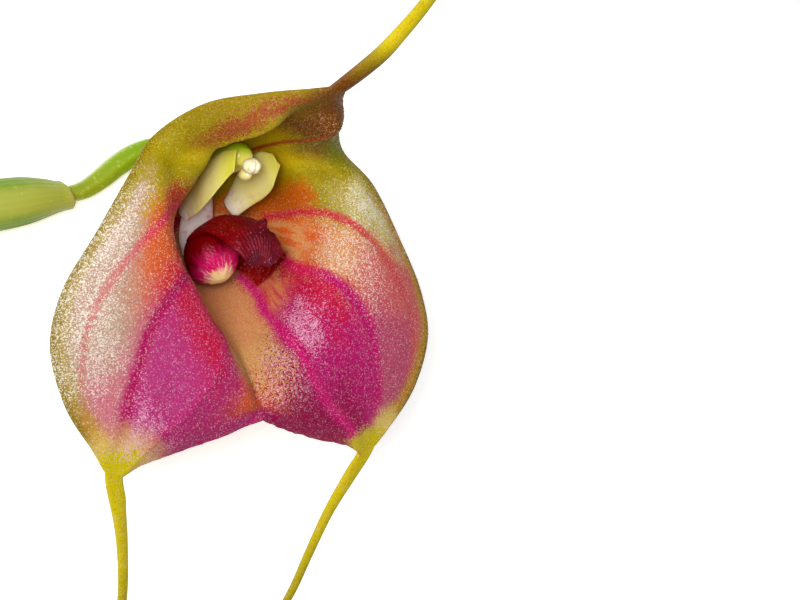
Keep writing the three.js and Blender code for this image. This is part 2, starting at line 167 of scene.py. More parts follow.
# %% Finishes
class Finish:
    """A material under construction. Keyword values are set on the shader's own sockets."""

    def __init__(self, name, **constants):
        self.material = bpy.data.materials.new(name)
        self.material.use_nodes = True
        self.tree = self.material.node_tree
        self.shader = self.tree.nodes["Principled BSDF"]
        for socket, value in constants.items():
            self.shader.inputs[socket.replace("_", " ")].default_value = value

    def feed(self, socket, value):
        if isinstance(value, Wire):
            self.tree.links.new(value.socket, socket)
        else:
            socket.default_value = value

    def node(self, kind, settings=None, values=None, out=0):
        """Adds a node: its settings first, then its sockets' values or wires. Gives one output."""
        made = self.tree.nodes.new(kind)
        for setting, value in (settings or {}).items():
            setattr(made, setting, value)
        for socket, value in (values or {}).items():
            self.feed(made.inputs[socket], value)
        return Wire(self, made.outputs[out])

    def mark(self, name):
        """A number that the mesh carries at each of its points."""
        return self.node("ShaderNodeAttribute", {"attribute_name": name}, out="Fac")

    def spot(self):
        return self.node("ShaderNodeTexCoord", out="Object")

    def fog(self, size_mm, detail=2.0, at=None):
        """Soft noise from 0 to 1, with lumps of about size_mm."""
        values = {"Scale": 1 / (size_mm * MM), "Detail": detail, "Vector": at or self.spot()}
        return self.node("ShaderNodeTexNoise", {}, values)

    def grains(self, size_mm, out="Distance"):
        """Packed cells of about size_mm: distance from a cell's middle, or a colour at random for each."""
        values = {"Scale": 1 / (size_mm * MM), "Vector": self.spot()}
        return self.node("ShaderNodeTexVoronoi", {}, values, out)

    def lottery(self, size_mm):
        """One number at random, 0 to 1, for each cell."""
        draw = self.grains(size_mm, "Color")
        return self.node("ShaderNodeSeparateColor", {}, {"Color": draw})

    def rise(self, wire, start, end):
        """0 before start, 1 after end, and a soft step between. start may be the larger."""
        values = {"Value": wire, "From Min": start, "From Max": end}
        return self.node("ShaderNodeMapRange", {"interpolation_type": "SMOOTHSTEP"}, values)

    def band(self, wire, start, full, fall, end):
        """1 from full to fall and 0 outside start and end."""
        return self.rise(wire, start, full) * self.rise(wire, end, fall)

    def blend(self, share, under, over):
        """The colour under, painted over by the colour over as far as share says."""
        mixed = {"data_type": "RGBA", "clamp_factor": True}
        return self.node("ShaderNodeMix", mixed, {0: share, 6: under, 7: over}, out=2)

    def coats(self, colour, *layers):
        """A colour under layers of paint. Each layer is its share and its colour."""
        for share, over in layers:
            colour = self.blend(share, colour, over)
        return colour

    def bump(self, height, depth_mm, strength=1.0):
        values = {"Height": height, "Distance": depth_mm * MM, "Strength": strength}
        return self.node("ShaderNodeBump", {}, values)

    def wear(self, **sockets):
        """Feeds the shader's sockets and gives the finished material."""
        for socket, value in sockets.items():
            self.feed(self.shader.inputs[socket.replace("_", " ")], value)
        return self.material


# %% [markdown]
# ## From points to pieces
# Every piece is made from rings or grids of points, worked out with arrays. That is the quickest way to a
# smooth organic form with a known wall, and it lets each point carry its own marks, such as how far it is
# from a vein. A recalculation of the faces at the end makes them all look outwards.

# %% Make a piece
def make_piece(name, points, faces, finish, slot, replaces=(), marks=None):
    """A smooth mesh in the part's frame that rides on the root body."""
    used = np.unique(np.concatenate([np.ravel(block) for block in faces]))
    faces_in = []
    remap = np.full(len(points), -1)
    remap[used] = np.arange(len(used))
    for block in faces:
        faces_in += remap[np.asarray(block)].tolist()
    mesh = bpy.data.meshes.new(name)
    mesh.from_pydata(placed(points)[used].tolist(), [], faces_in)
    for mark, values in (marks or {}).items():
        made = mesh.attributes.new(mark, "FLOAT", "POINT")
        made.data.foreach_set("value", np.asarray(values, np.float32)[used])
    shell = bmesh.new()
    shell.from_mesh(mesh)
    bmesh.ops.recalc_face_normals(shell, faces=shell.faces)
    shell.to_mesh(mesh)
    shell.free()
    mesh.shade_smooth()
    mesh.materials.append(finish)
    piece = bpy.data.objects.new(name, mesh)
    bpy.context.scene.collection.objects.link(piece)
    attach(piece, "root")
    if replaces:
        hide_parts(*replaces)
    triangles = sum(len(p.vertices) - 2 for p in mesh.polygons)
    print(f"{name}: {len(mesh.vertices)} points, {triangles} triangles")
    return piece


# %% Smooth values and lines
def unit(vectors):
    """Vectors of length one along the last axis."""
    return vectors / np.maximum(np.linalg.norm(vectors, axis=-1, keepdims=True), 1e-12)


def catmull(a, b, c, d, t):
    """Catmull-Rom value between b and c."""
    square = (2 * a - 5 * b + 4 * c - d) * t * t
    cube = (3 * b - a - 3 * c + d) * t * t * t
    return 0.5 * (2 * b + (c - a) * t + square + cube)


def along(values, t):
    """A list of numbers read at places between 0 and 1."""
    values = np.asarray(values, float)
    place = np.clip(t, 0, 1) * (len(values) - 1)
    i = np.minimum(place.astype(int), len(values) - 2)
    get = lambda k: values[np.clip(k, 0, len(values) - 1)]
    return catmull(get(i - 1), get(i), get(i + 1), get(i + 2), place - i)


def on_curve(line, u):
    """Points of the smooth curve through a line's points, u from 0 to 1. Spacing is centripetal."""
    line = np.asarray(line, float)
    ends = np.vstack([2 * line[0] - line[1], line, 2 * line[-1] - line[-2]])
    place = np.clip(u, 0, 1) * (len(line) - 1)
    i = np.minimum(place.astype(int), len(line) - 2)
    t = (place - i)[:, None]
    a, b, c, d = (ends[i + k] for k in range(4))
    gaps = [np.sqrt(np.linalg.norm(q - p, axis=1))[:, None] for p, q in ((a, b), (b, c), (c, d))]
    before, middle, after = gaps
    start = (b - a) / before - (c - a) / (before + middle) + (c - b) / middle
    end = (c - b) / middle - (d - b) / (middle + after) + (d - c) / after
    start, end = start * middle, end * middle
    return b + start * t + (3 * (c - b) - 2 * start - end) * t**2 + (2 * (b - c) + start + end) * t**3


def even_steps(line, count, first=0.0):
    """Curve places that are evenly far apart along the curve, from the place first to the end."""
    u = np.linspace(first, 1, 1200)
    far = np.concatenate([[0], np.cumsum(np.linalg.norm(np.diff(on_curve(line, u), axis=0), axis=1))])
    return np.interp(np.linspace(0, far[-1], count), far, u)


# %% Rings and skins
def bar_rings(line, width, depth, count, sides, side=(1, 0, 0), shape=None):
    """Rings of a tapered bar along a line, as [ring, side, xyz], with each ring's place and each angle."""
    u = even_steps(line, count)
    centre = on_curve(line, u)
    tangent = unit(np.gradient(centre, axis=0))
    out = unit(np.cross(tangent, side))
    across = unit(np.cross(out, tangent))
    angle = np.linspace(0, 2 * np.pi, sides, endpoint=False)
    grow = shape(angle[None, :], np.linspace(0, 1, count)[:, None]) if shape else 1.0
    wide = (along(width, u)[:, None] * grow * np.cos(angle))[..., None]
    deep = (along(depth, u)[:, None] * grow * np.sin(angle))[..., None]
    return centre[:, None] + across[:, None] * wide + out[:, None] * deep, u, angle


def strip(lower, upper):
    """Quads between two rings of point numbers."""
    return np.stack([lower, np.roll(lower, -1), np.roll(upper, -1), upper], 1)


def fan(ring, hub):
    """Triangles from a ring of point numbers to one point."""
    return np.stack([ring, np.roll(ring, -1), np.full(len(ring), hub)], 1)


def closed_skin(rings):
    """Points and faces of a body that is skinned over rings, with a rounded fan at each end."""
    count, sides = rings.shape[:2]
    points = np.vstack([rings.reshape(-1, 3), rings[0].mean(0), rings[-1].mean(0)])
    number = np.arange(count * sides).reshape(count, sides)
    quads = np.vstack([strip(number[k], number[k + 1]) for k in range(count - 1)])
    return points, [quads, fan(number[0], count * sides), fan(number[-1], count * sides + 1)]


def joined(*skins):
    """Several closed skins as one list of points and one of faces."""
    points, faces, count = [], [], 0
    for skin_points, skin_faces in skins:
        faces += [block + count for block in skin_faces]
        points.append(skin_points)
        count += len(skin_points)
    return np.vstack(points), faces


DOME_TURNS = np.radians([25, 50, 70, 84])  # where a dome's rings lie between its edge and its top


# %% Marks, rounded ends and soft noise
def ring_mark(per_ring, sides, ends=(0, 1)):
    """A mark that is the same all round each ring, and its values at the two end points."""
    return [*np.repeat(per_ring, sides), *ends]


def lengthwise_mark(rings):
    """A mark that runs from 0 at the first ring to 1 at the last one."""
    return ring_mark(np.linspace(0, 1, len(rings)), rings.shape[1])


def round_ends(rings, first=0.0, last=0.0):
    """Adds four shrinking rings at an end, so that a bar ends in a dome that is this many mm high."""
    domes = []
    for end, beyond, height in ((rings[0], rings[1], first), (rings[-1], rings[-2], last)):
        middle = end.mean(0)
        spokes, rise = end - middle, unit(middle - beyond.mean(0)) * height
        domes.append([middle + spokes * np.cos(turn) + rise * np.sin(turn) for turn in DOME_TURNS])
    front, back = domes
    parts = ([front[::-1]] if first else []) + [rings] + ([back] if last else [])
    return np.concatenate([np.asarray(p) for p in parts])


def drift(points, size, seed=0.0):
    """Soft noise from -1 to 1 at points in millimetres, with lumps of about this size."""
    flat = np.reshape(points, (-1, 3)) / size + seed
    return np.array([noise.noise(p) for p in flat.tolist()]).reshape(np.shape(points)[:-1])


# %% [markdown]
# ## The sepals
# In this genus the three sepals are grown together into one cup with three tailed blades. The solid is
# drawn by fifteen stations from the hood to the cleft. At each one a line runs from the floor of the tube
# (0) over the throat (3) and the rolled rim of the mouth (4) to the margin (6). The same lists are used
# here, only sampled more finely, so that the skin keeps the solid's form.

# %% The sepals' named values
MARGIN = [
    [0, 18.9, 18.4], [4.6, 19.0, 10.9], [7.7, 18.2, 5.8], [10.8, 15.5, 1.8], [13.7, 11.9, 3.2],
    [17.2, 6.2, 3.2], [20.2, 1.0, 2.7], [21.3, -4.0, 2.5], [19.8, -9.3, 2.3], [17.0, -13.4, 1.9],
    [14.4, -16.4, 0.9], [11.6, -15.4, 1.2], [7.6, -14.4, 1.5], [3.0, -13.0, 2.7], [0, -11.5, 4.2],
]
BLADE_MIDDLE = [
    [0, 18.4, 14.2], [4.3, 17.2, 11.5], [6.5, 16.5, 6.1], [9.7, 14.8, 2.6], [11.5, 11.7, 3.9],
    [13.6, 7.2, 4.4], [15.0, 2.7, 4.5], [14.9, -1.6, 4.5], [13.2, -5.8, 4.0], [11.5, -9.0, 3.7],
    [9.6, -11.3, 3.3], [7.5, -11.9, 3.2], [4.8, -11.9, 3.4], [2.0, -11.3, 3.9], [0, -10.7, 3.6],
]
CREST = [
    [0, 17.8, 9.6], [3.3, 15.8, 11.0], [4.9, 14.9, 4.6], [8.2, 13.7, 2.4], [9.7, 11.4, 3.3],
    [10.3, 8.2, 3.8], [9.8, 4.8, 4.0], [8.4, 1.6, 3.9], [6.7, -1.4, 3.7], [5.2, -3.9, 3.8],
    [3.9, -5.9, 4.0], [2.9, -7.2, 4.1], [1.9, -8.3, 4.1], [0.9, -9.2, 3.5], [0, -9.6, 2.8],
]
THROAT = [
    [0, 17.1, 2.0], [2.3, 16.2, 2.4], [3.9, 14.9, 1.2], [4.9, 13.2, 1.4], [6.2, 11.1, 1.0],
    [7.4, 8.0, -0.6], [7.2, 5.0, -0.9], [6.0, 2.5, -1.0], [4.7, 0.3, -1.2], [3.5, -1.3, -1.3],
    [2.5, -2.5, -1.3], [1.9, -3.2, -1.3], [1.2, -3.8, -1.3], [0.6, -4.2, -1.3], [0, -4.4, -1.3],
]
STATION_ANGLE = np.radians([0, 17, 38, 58, 75, 91, 106, 121, 134, 146, 156, 163, 169, 175, 180])
# Sections of the tube: half width, highest and lowest y, and z at those two places.
TUBE_FLOOR = (1.3, 10.6, 7.8, -11.7, -12.3)
TUBE_DEEP = (4.6, 15.2, 3.4, -8.6, -11.5)
TUBE_MIDDLE = (6.4, 16.3, 0.5, -4.2, -6.3)
FLOOR_POINT = [0, 9.2, -12.1]
LAST_STATION, LAST_LEVEL, FIRST_KINKED_LEVEL = 14, 6, 5
LEAN = 0.0015  # how much the right side blade rides higher than the left one, per square millimetre
WALL_LEVELS, WALL = [0, 2, 5, 5.7, 6], [1.7, 1.0, 0.8, 0.7, 0.45]

HOOD_TAIL = {
    "line": [
        [0, 18.8, 13.2], [0, 19.0, 16.4], [0, 19.5, 19.2], [0, 20.5, 22.0], [0, 22.4, 26.0],
        [0.1, 25.2, 30.8], [0.6, 28.6, 34.4], [1.3, 33.2, 36.6], [2.2, 38.2, 37.0], [3.1, 42.6, 35.8],
    ],
    "width": [0.9, 1.35, 1.1, 0.85, 0.7, 0.56, 0.5, 0.44, 0.38, 0.32],
    "depth": [0.25, 0.5, 0.8, 0.75, 0.65, 0.54, 0.48, 0.43, 0.38, 0.32],
}
SIDE_TAIL = {
    "line": [
        [13.7, -12.2, 1.9], [14.2, -14.3, 1.3], [14.2, -16.4, 0.5], [13.2, -19.2, -0.8],
        [11.9, -23.0, -2.7], [10.8, -27.6, -4.8], [10.1, -31.8, -7.0], [9.5, -35.4, -9.7],
        [8.9, -38.2, -12.0], [8.0, -41.0, -13.06], [6.9, -43.8, -13.15],
    ],
    "width": [0.6, 1.4, 1.3, 0.78, 0.58, 0.5, 0.46, 0.42, 0.38, 0.36, 0.32],
    "depth": [0.2, 0.45, 0.62, 0.58, 0.5, 0.46, 0.43, 0.4, 0.38, 0.36, 0.32],
}


def tube_section(half_width, top, bottom, z_top, z_bottom):
    down = (1 - np.cos(STATION_ANGLE)) / 2
    y = top + (bottom - top) * down
    return np.column_stack([half_width * np.sin(STATION_ANGLE), y, z_top + (z_bottom - z_top) * down])


LEVELS = [tube_section(*TUBE_FLOOR), tube_section(*TUBE_DEEP), tube_section(*TUBE_MIDDLE)]
LEVELS += [np.array(level, float) for level in (THROAT, CREST, BLADE_MIDDLE, MARGIN)]


# %% Any point of the sepals
def leaned(points):
    """The small twist that lifts the right side blade."""
    moved = np.array(points, float)
    moved[..., 1] += LEAN * moved[..., 0] * np.maximum(0, -moved[..., 1])
    return moved


def level_point(level, station):
    """Points of one level at stations 0 to 14."""
    line = LEVELS[level]
    if level >= FIRST_KINKED_LEVEL:
        above, below = 2 * line[0] - line[1], 2 * line[-1] - line[-2]
    else:
        above, below = line[1] * (-1, 1, 1), line[-2] * (-1, 1, 1)
    ends = np.vstack([above, line, below])
    i = np.minimum(station.astype(int), LAST_STATION - 1)
    return catmull(ends[i], ends[i + 1], ends[i + 2], ends[i + 3], (station - i)[:, None])


def sepal_point(station, outward):
    """Points of the sepals' front face. A station below zero is on the left side."""
    station, outward = np.broadcast_arrays(np.asarray(station, float), np.asarray(outward, float))
    s, v = np.abs(station).ravel(), outward.ravel()
    levels = [level_point(k, s) for k in range(len(LEVELS))]
    lines = np.stack([np.broadcast_to(FLOOR_POINT, (len(s), 3)), *levels, levels[-1]])
    j = np.minimum(v.astype(int), LAST_LEVEL - 1)
    n = np.arange(len(s))
    points = catmull(lines[j, n], lines[j + 1, n], lines[j + 2, n], lines[j + 3, n], (v - j)[:, None])
    points[:, 0] *= np.where(station.ravel() < 0, -1, 1)
    return leaned(points).reshape(*station.shape, 3)


print("margin at the widest station:", np.round(sepal_point([-7.0, 7.0], [6.0, 6.0]), 2).tolist())

# %% [markdown]
# ### Veins as places on the surface
# Three main veins run through each side blade from the throat to the base of its tail. A vein is written
# as the station at which it passes each level, so the same list serves both blades. Between the veins lie
# the blade's colour fields, so each point of the mesh also gets its sector: 0 on the outer vein, 1 on the
# middle one, 2 on the inner one and 3 at the cleft.

# %% Veins and sectors
OUTER_VEIN = {"outward": [1.8, 2.9, 3.5, 3.8, 4.25, 4.7, 5.0, 5.2, 5.35, 5.46, 5.6, 5.72, 6.0],
              "station": [4.75, 4.65, 4.75, 4.98, 5.2, 5.45, 5.75, 6.1, 6.45, 6.9, 7.5, 8.05, 9.2]}
MIDDLE_VEIN = {"outward": [1.8, 2.7, 3.4, 4.15, 4.5, 4.8, 5.0, 5.2, 5.45, 5.6, 6.0],
               "station": [6.4, 6.5, 6.7, 6.95, 7.22, 7.56, 7.95, 8.4, 9.0, 9.3, 9.75]}
INNER_VEIN = {"outward": [1.8, 2.5, 3.1, 3.6, 4.05, 4.45, 4.85, 5.1, 5.35, 6.0],
              "station": [8.8, 8.75, 9.1, 9.4, 9.65, 10.1, 10.3, 10.25, 10.1, 10.2]}
HOOD_VEIN = {"outward": [2.2, 3.0, 3.5, 4.0, 4.6, 5.2], "station": [1.5, 1.4, 1.3, 1.15, 0.8, 0.5]}
SINUS_STATION = 3.0
VEIN_REACH, TAIL_REACH = 4.0, 20.0  # millimetres beyond which such a distance no longer matters
VEIN_STEPS = 110


def vein_station(vein, outward):
    return np.interp(outward, vein["outward"], vein["station"])


def sector_of(station, outward):
    """-1 at the notch beside the hood, then 0, 1 and 2 on the three veins, and 3 at the cleft."""
    stops = np.stack([vein_station(v, outward) for v in (OUTER_VEIN, MIDDLE_VEIN, INNER_VEIN)])
    edges = np.stack([np.full_like(outward, SINUS_STATION), *stops, np.full_like(outward, LAST_STATION)])
    s = np.abs(station)
    sector = np.full(s.shape, -1.0)
    for k in range(4):
        share = (s - edges[k]) / (edges[k + 1] - edges[k])
        sector = np.where(s >= edges[k], k - 1 + np.clip(share, 0, 1), sector)
    return sector


def distance_to_vein(vein, points):
    """Millimetres from each point to the nearer of the vein's two mirror images."""
    steps = np.linspace(vein["outward"][0], vein["outward"][-1], VEIN_STEPS)
    station = vein_station(vein, steps)
    path = np.vstack([sepal_point(station, steps), sepal_point(-station, steps)])
    flat = points.reshape(-1, 3)
    nearest = np.full(len(flat), VEIN_REACH**2)
    for spot in path:
        nearest = np.minimum(nearest, ((flat - spot) ** 2).sum(1))
    return np.sqrt(nearest).reshape(points.shape[:-1])


# %% [markdown]
# ### One skin with its tails
# The sheet has a front and a back, and a rounded rim joins them. At the three tails a few columns of both
# faces don't stop at the rim: they go on as the upper and lower half of a ring, which shrinks into the
# tail's round section. So blade and tail are one skin, with the concave shoulders of the real flower.
# Joining a separate tube to the sheet would leave a seam there.

# %% The sheet as a grid
COLUMNS_PER_STATION = 15
ROWS_PER_LEVEL = [4, 6, 10, 17, 18, 15]
RIM_POINTS = 3
TAILS = [
    {"station": 0, "half_span": 3, "shape": HOOD_TAIL, "side": 1, "rings": 84, "settle": 16},
    {"station": 10, "half_span": 5, "shape": SIDE_TAIL, "side": 1, "rings": 84, "settle": 13},
    {"station": -10, "half_span": 5, "shape": SIDE_TAIL, "side": -1, "rings": 84, "settle": 13},
]

half_columns = LAST_STATION * COLUMNS_PER_STATION
column_station = np.arange(2 * half_columns) / COLUMNS_PER_STATION
column_station = np.where(column_station > LAST_STATION, column_station - 2 * LAST_STATION, column_station)
row_outward = [k + np.arange(n) / n for k, n in enumerate(ROWS_PER_LEVEL)]
row_outward = np.concatenate([*row_outward, [LAST_LEVEL]])
station, outward = np.meshgrid(column_station, row_outward)


def grid_normals(points):
    """Normals of the front face, which looks into the tube and out of the mouth."""
    outwards = np.gradient(points, axis=0)
    sideways = np.roll(points, -1, axis=1) - np.roll(points, 1, axis=1)
    normals = unit(np.cross(outwards, sideways))
    return normals * np.sign(normals[0, 0, 2])


# The lower margin of the blades is a little ragged, so its last rows end at uneven levels.
RAGGED_STATION, RAGGED_FADE = 10.6, 0.8
FINE_RAG, COARSE_RAG, RAG_OFFSET = 0.10, 0.07, 0.05

plain = sepal_point(station, outward)
ragged = np.clip((np.abs(station) - RAGGED_STATION) / RAGGED_FADE, 0, 1) * np.clip(outward - 5, 0, 1)
uneven = FINE_RAG * drift(plain, 0.55, 3.0) + COARSE_RAG * drift(plain, 1.9, 8.0) - RAG_OFFSET
smooth_front = sepal_point(station, outward + ragged * np.minimum(uneven, 0))
normals = grid_normals(smooth_front)

to_outer, to_middle, to_inner, to_hood = (
    distance_to_vein(v, smooth_front) for v in (OUTER_VEIN, MIDDLE_VEIN, INNER_VEIN, HOOD_VEIN)
)
sector = sector_of(station, outward)
steps_out = np.linalg.norm(np.diff(smooth_front, axis=0), axis=2)
to_rim = np.vstack([np.cumsum(steps_out[::-1], axis=0)[::-1], np.zeros(len(column_station))])

# %% Relief of the front face
INNER_RIDGE, MIDDLE_GROOVE, OUTER_GROOVE, SWELL, WRINKLE = 0.14, 0.10, 0.06, 0.16, 0.05
RIDGE_WIDTH, GROOVE_WIDTH = 0.45, 0.5
RELIEF_LEVEL, CALM_RIM = 2.4, 0.8  # the level where relief begins, and the still strip at the margin
RIM_BULGE = 0.16


def bell(distance, width):
    return np.exp(-((distance / width) ** 2))


visible = np.clip(outward - RELIEF_LEVEL, 0, 1)
settle = np.clip(to_rim / CALM_RIM, 0, 1)
relief = INNER_RIDGE * bell(to_inner, RIDGE_WIDTH) - MIDDLE_GROOVE * bell(to_middle, GROOVE_WIDTH)
relief -= OUTER_GROOVE * bell(to_outer, GROOVE_WIDTH)
relief += SWELL * drift(smooth_front, 4.2) + WRINKLE * drift(smooth_front, 1.3, 5.0)
front = smooth_front + normals * (relief * visible * settle)[..., None]
wall = np.interp(row_outward, WALL_LEVELS, WALL)[:, None]
back = smooth_front - normals * (wall + WRINKLE * drift(smooth_front, 2.6, 12.0) * visible)[..., None]
back[..., 2] = np.maximum(back[..., 2], REST_SPOT_Z)

# The rim bulges from the front's edge to the back's edge.
edge_front, edge_back = front[-1], back[-1]
bulge_way = unit(front[-1] - front[-3])
rim = []
for k in range(1, RIM_POINTS + 1):
    share = k / (RIM_POINTS + 1)
    middle = edge_front + (edge_back - edge_front) * share
    rim.append(middle + bulge_way * RIM_BULGE * np.sin(np.pi * share))
rim = np.array(rim)
print("relief of the front:", np.round([relief.min(), relief.max()], 2).tolist(), "mm")

# %% Number the points and lay the faces of the sheet
columns = len(column_station)
rows = len(row_outward)
front_number = np.arange(rows * columns).reshape(rows, columns)
back_number = front_number + rows * columns
rim_number = 2 * rows * columns + np.arange(RIM_POINTS * columns).reshape(RIM_POINTS, columns)
hub_front = rim_number[-1, -1] + 1
hub_back = hub_front + 1
hubs = np.array([FLOOR_POINT, [*FLOOR_POINT[:2], REST_SPOT_Z]], float)
all_points = np.vstack([front.reshape(-1, 3), back.reshape(-1, 3), rim.reshape(-1, 3), hubs])
next_number = len(all_points)

sheet_faces = []
for number in (front_number, back_number):
    sheet_faces += [strip(number[r], number[r + 1]) for r in range(rows - 1)]
sheet_faces += [fan(front_number[0], hub_front), fan(back_number[0], hub_back)]

in_tail = np.zeros(columns, bool)
for tail in TAILS:
    centre = int(round(tail["station"] * COLUMNS_PER_STATION)) % columns
    tail["columns"] = [(centre + j) % columns for j in range(-tail["half_span"], tail["half_span"] + 1)]
    in_tail[tail["columns"][:-1]] = True
edge_rows = [front_number[-1], *rim_number, back_number[-1]]
for upper, lower in zip(edge_rows[:-1], edge_rows[1:]):
    sheet_faces.append(strip(upper, lower)[~in_tail])
print("the sheet has", rows, "rows of", columns, "points on each side")

# %% Grow the tails out of the margin
def tail_rings(tail, ring_points, across_start, out_start):
    """Rings of a tail, from the margin's own arc to the tail's round section."""
    mirror = (tail["side"], 1, 1)
    line = leaned(np.array(tail["shape"]["line"], float) * mirror)
    u = even_steps(line, tail["rings"], first=2 / (len(line) - 1))
    centre = on_curve(line, u)
    tangent = unit(np.gradient(centre, axis=0))
    across = unit(across_start - tangent * (tangent @ across_start)[:, None])
    out = unit(np.cross(tangent, across))
    out *= np.sign(out[0] @ out_start)
    ring_size = len(ring_points)
    angle = np.pi / 2 + (tail["half_span"] - np.arange(ring_size)) * 2 * np.pi / ring_size
    wide = along(tail["shape"]["width"], u)[:, None] * np.cos(angle)
    deep = along(tail["shape"]["depth"], u)[:, None] * np.sin(angle)
    oval = centre[:, None] + across[:, None] * wide[..., None] + out[:, None] * deep[..., None]
    carried = ring_points[None] + (centre - centre[0])[:, None]
    share = np.clip(np.arange(tail["rings"]) / tail["settle"], 0, 1)
    share = (share**2 * (3 - 2 * share))[:, None, None]
    return carried * (1 - share) + oval * share


tail_parts = []
for tail in TAILS:
    chosen = tail["columns"]
    start_ring = [front_number[-1, chosen], rim_number[:, chosen[-1]]]
    start_ring += [back_number[-1, chosen[::-1]], rim_number[::-1, chosen[0]]]
    start_ring = np.concatenate(start_ring)
    # The ring's angle runs evenly, so the middle of the rim's points falls on the sides of the tail.
    across_start = unit(front[-1, chosen[-1]] - front[-1, chosen[0]])
    rings = tail_rings(tail, all_points[start_ring], across_start, normals[-1, chosen[len(chosen) // 2]])
    rings = round_ends(rings[1:], last=0.3)
    number = next_number + np.arange(rings.shape[0] * rings.shape[1]).reshape(rings.shape[:2])
    ladder = [start_ring, *number]
    sheet_faces += [strip(a, b) for a, b in zip(ladder[:-1], ladder[1:])]
    tip = number[-1, -1] + 1
    sheet_faces.append(fan(number[-1], tip))
    next_number = tip + 1
    tail_parts.append(np.vstack([rings.reshape(-1, 3), rings[-1].mean(0)]))
    along_tail = np.linspace(0, 1, len(rings))
    tail["marks"] = np.concatenate([np.repeat(along_tail, rings.shape[1]), [1.0]])
    print("tail at station", tail["station"], "rings", len(rings), "tip at", np.round(rings[-1].mean(0), 1))
cup_points = np.vstack([all_points, *tail_parts])
print("points of the cup:", len(cup_points))

# %% [markdown]
# ### The skin's marks
# The finish needs to know, at each point, where it is: the sector between the veins, the level from the
# throat outwards, the distance to each vein and to the margin, how far out along a tail, and whether it
# is the front or the back of the sheet.

# %% Marks of the cup
def tail_value(name, tail):
    """What a mark says on a tail, where it is the same all along it."""
    on_hood = tail["station"] == 0
    known = {"sector": -1.0 if on_hood else 1.5, "station": abs(tail["station"]), "outward": LAST_LEVEL,
             "to_rim": 0.0, "hood": float(on_hood)}
    return known.get(name, VEIN_REACH)


def add_tail_distances(marks, points):
    """How far each point is from the foot of the nearer side tail, and from the hood's tail."""
    for name, foot in (("to_side_tail", 10.0), ("to_hood_tail", 0.0)):
        feet = sepal_point([foot, -foot], [LAST_LEVEL, LAST_LEVEL])
        far = np.minimum(*(np.linalg.norm(points - spot, axis=1) for spot in feet))
        marks[name] = np.minimum(far, TAIL_REACH)


grid_marks = {
    "sector": sector, "station": np.abs(station), "outward": outward, "to_rim": to_rim,
    "to_outer": to_outer, "to_middle": to_middle, "to_inner": to_inner, "to_hood_vein": to_hood,
    "hood": np.clip((SINUS_STATION + 0.3 - np.abs(station)) / 0.9, 0, 1),
}
cup_marks = {}
for name, grid in grid_marks.items():
    parts = [grid.ravel(), grid.ravel(), np.tile(grid[-1], RIM_POINTS), [0.0, 0.0]]
    parts += [np.full(len(tail["marks"]), tail_value(name, tail)) for tail in TAILS]
    cup_marks[name] = np.concatenate(parts)
cup_marks["tail"] = np.concatenate([np.zeros(len(all_points)), *(tail["marks"] for tail in TAILS)])
cup_marks["front"] = np.ones(len(cup_points))
cup_marks["front"][np.append(back_number, hub_back)] = 0
cup_marks["front"][rim_number.ravel()] = 0.6
add_tail_distances(cup_marks, cup_points)
print("marks:", sorted(cup_marks))

# %% [markdown]
# ### The colour fields
# The blade is painted the way the plant does it: a cream ground, rose and magenta between the veins, gold
# in the valley below the mouth, olive on the hood and round the margins, and yellow tails. Some light is
# painted in too: the lip's shadow deep in the throat, shade on the left inner wall and in the notch, a glint
# on the left crest, and part of the difference between the two side blades. Each field is a mask made from
# the marks and loosened by noise, because a real field never ends in a clean line. Then each skin cell is
# drawn lighter or darker by lot, which gives the flower its glitter. Pale cells are sown thicker where the
# papillae face the key light, which adds a painted sheen to their own paleness.

# %% Paints of the sepals
OLIVE_YELLOW, HOOD_OLIVE, HOOD_INSIDE = lit(150, 134, 0), lit(132, 114, 0), lit(186, 162, 0)
BRONZE, RUSSET, HOOD_GREEN = lit(102, 60, 0), lit(140, 64, 30), lit(112, 108, 0)
TAN, BLUSH, PEACH, AMBER = lit(176, 162, 86), lit(168, 138, 118), lit(200, 134, 74), lit(204, 92, 30)
# On the next line, WALL is painted shade: the dark orange of the throat's left inner wall, which the crest
# keeps in shadow.
ORANGE, WALL, FLAME = lit(184, 88, 0), lit(172, 48, 0), lit(192, 82, 32)
ROSE, PALE_ROSE, LILAC_ROSE = lit(192, 84, 84), lit(182, 100, 112), lit(174, 66, 98)
CRIMSON, MAGENTA, LILAC = lit(182, 8, 56), lit(170, 14, 96), lit(168, 46, 110)
WINE, MAROON, CLAY = lit(140, 2, 64), lit(154, 32, 88), lit(158, 50, 44)
GOLD, SAND = lit(194, 132, 82), lit(194, 150, 82)
RIM_GOLD, RIM_PALE, EDGE = lit(172, 124, 26), lit(152, 130, 62), lit(118, 100, 4)
TAIL_YELLOW, TAIL_OLIVE = lit(190, 174, 0), lit(158, 146, 4)
PEARL, PINK_PEARL, STRAW = lit(226, 220, 208), lit(226, 150, 188), lit(206, 192, 96)
OCHRE, CREAM, HOOD_PEARL = lit(182, 132, 8), lit(206, 180, 96), lit(208, 150, 120)
# On the next line, the deep red is the lip's painted shadow and the notch green is painted shade.
LIP_SHADOW_RED, GLINT, NOTCH_SHADE_GREEN = lit(138, 4, 2), lit(226, 140, 196), lit(112, 118, 0)
BACK_GREEN, BACK_ROSE, BACK_RED = lit(170, 164, 70), lit(180, 104, 100), lit(140, 40, 50)
THROAT_RED, HOOD_RED = lit(200, 22, 78), lit(158, 44, 16)
# The veins' reds, on the left blade and on the right one.
OUTER_RED, MIDDLE_RED = (lit(192, 24, 74), lit(186, 34, 54)), (lit(158, 4, 76), lit(176, 2, 96))
INNER_RED = lit(160, 8, 84), lit(186, 12, 100)
SHADE = (0.76, 0.36, 0.40)  # how much of each light a darker cell keeps


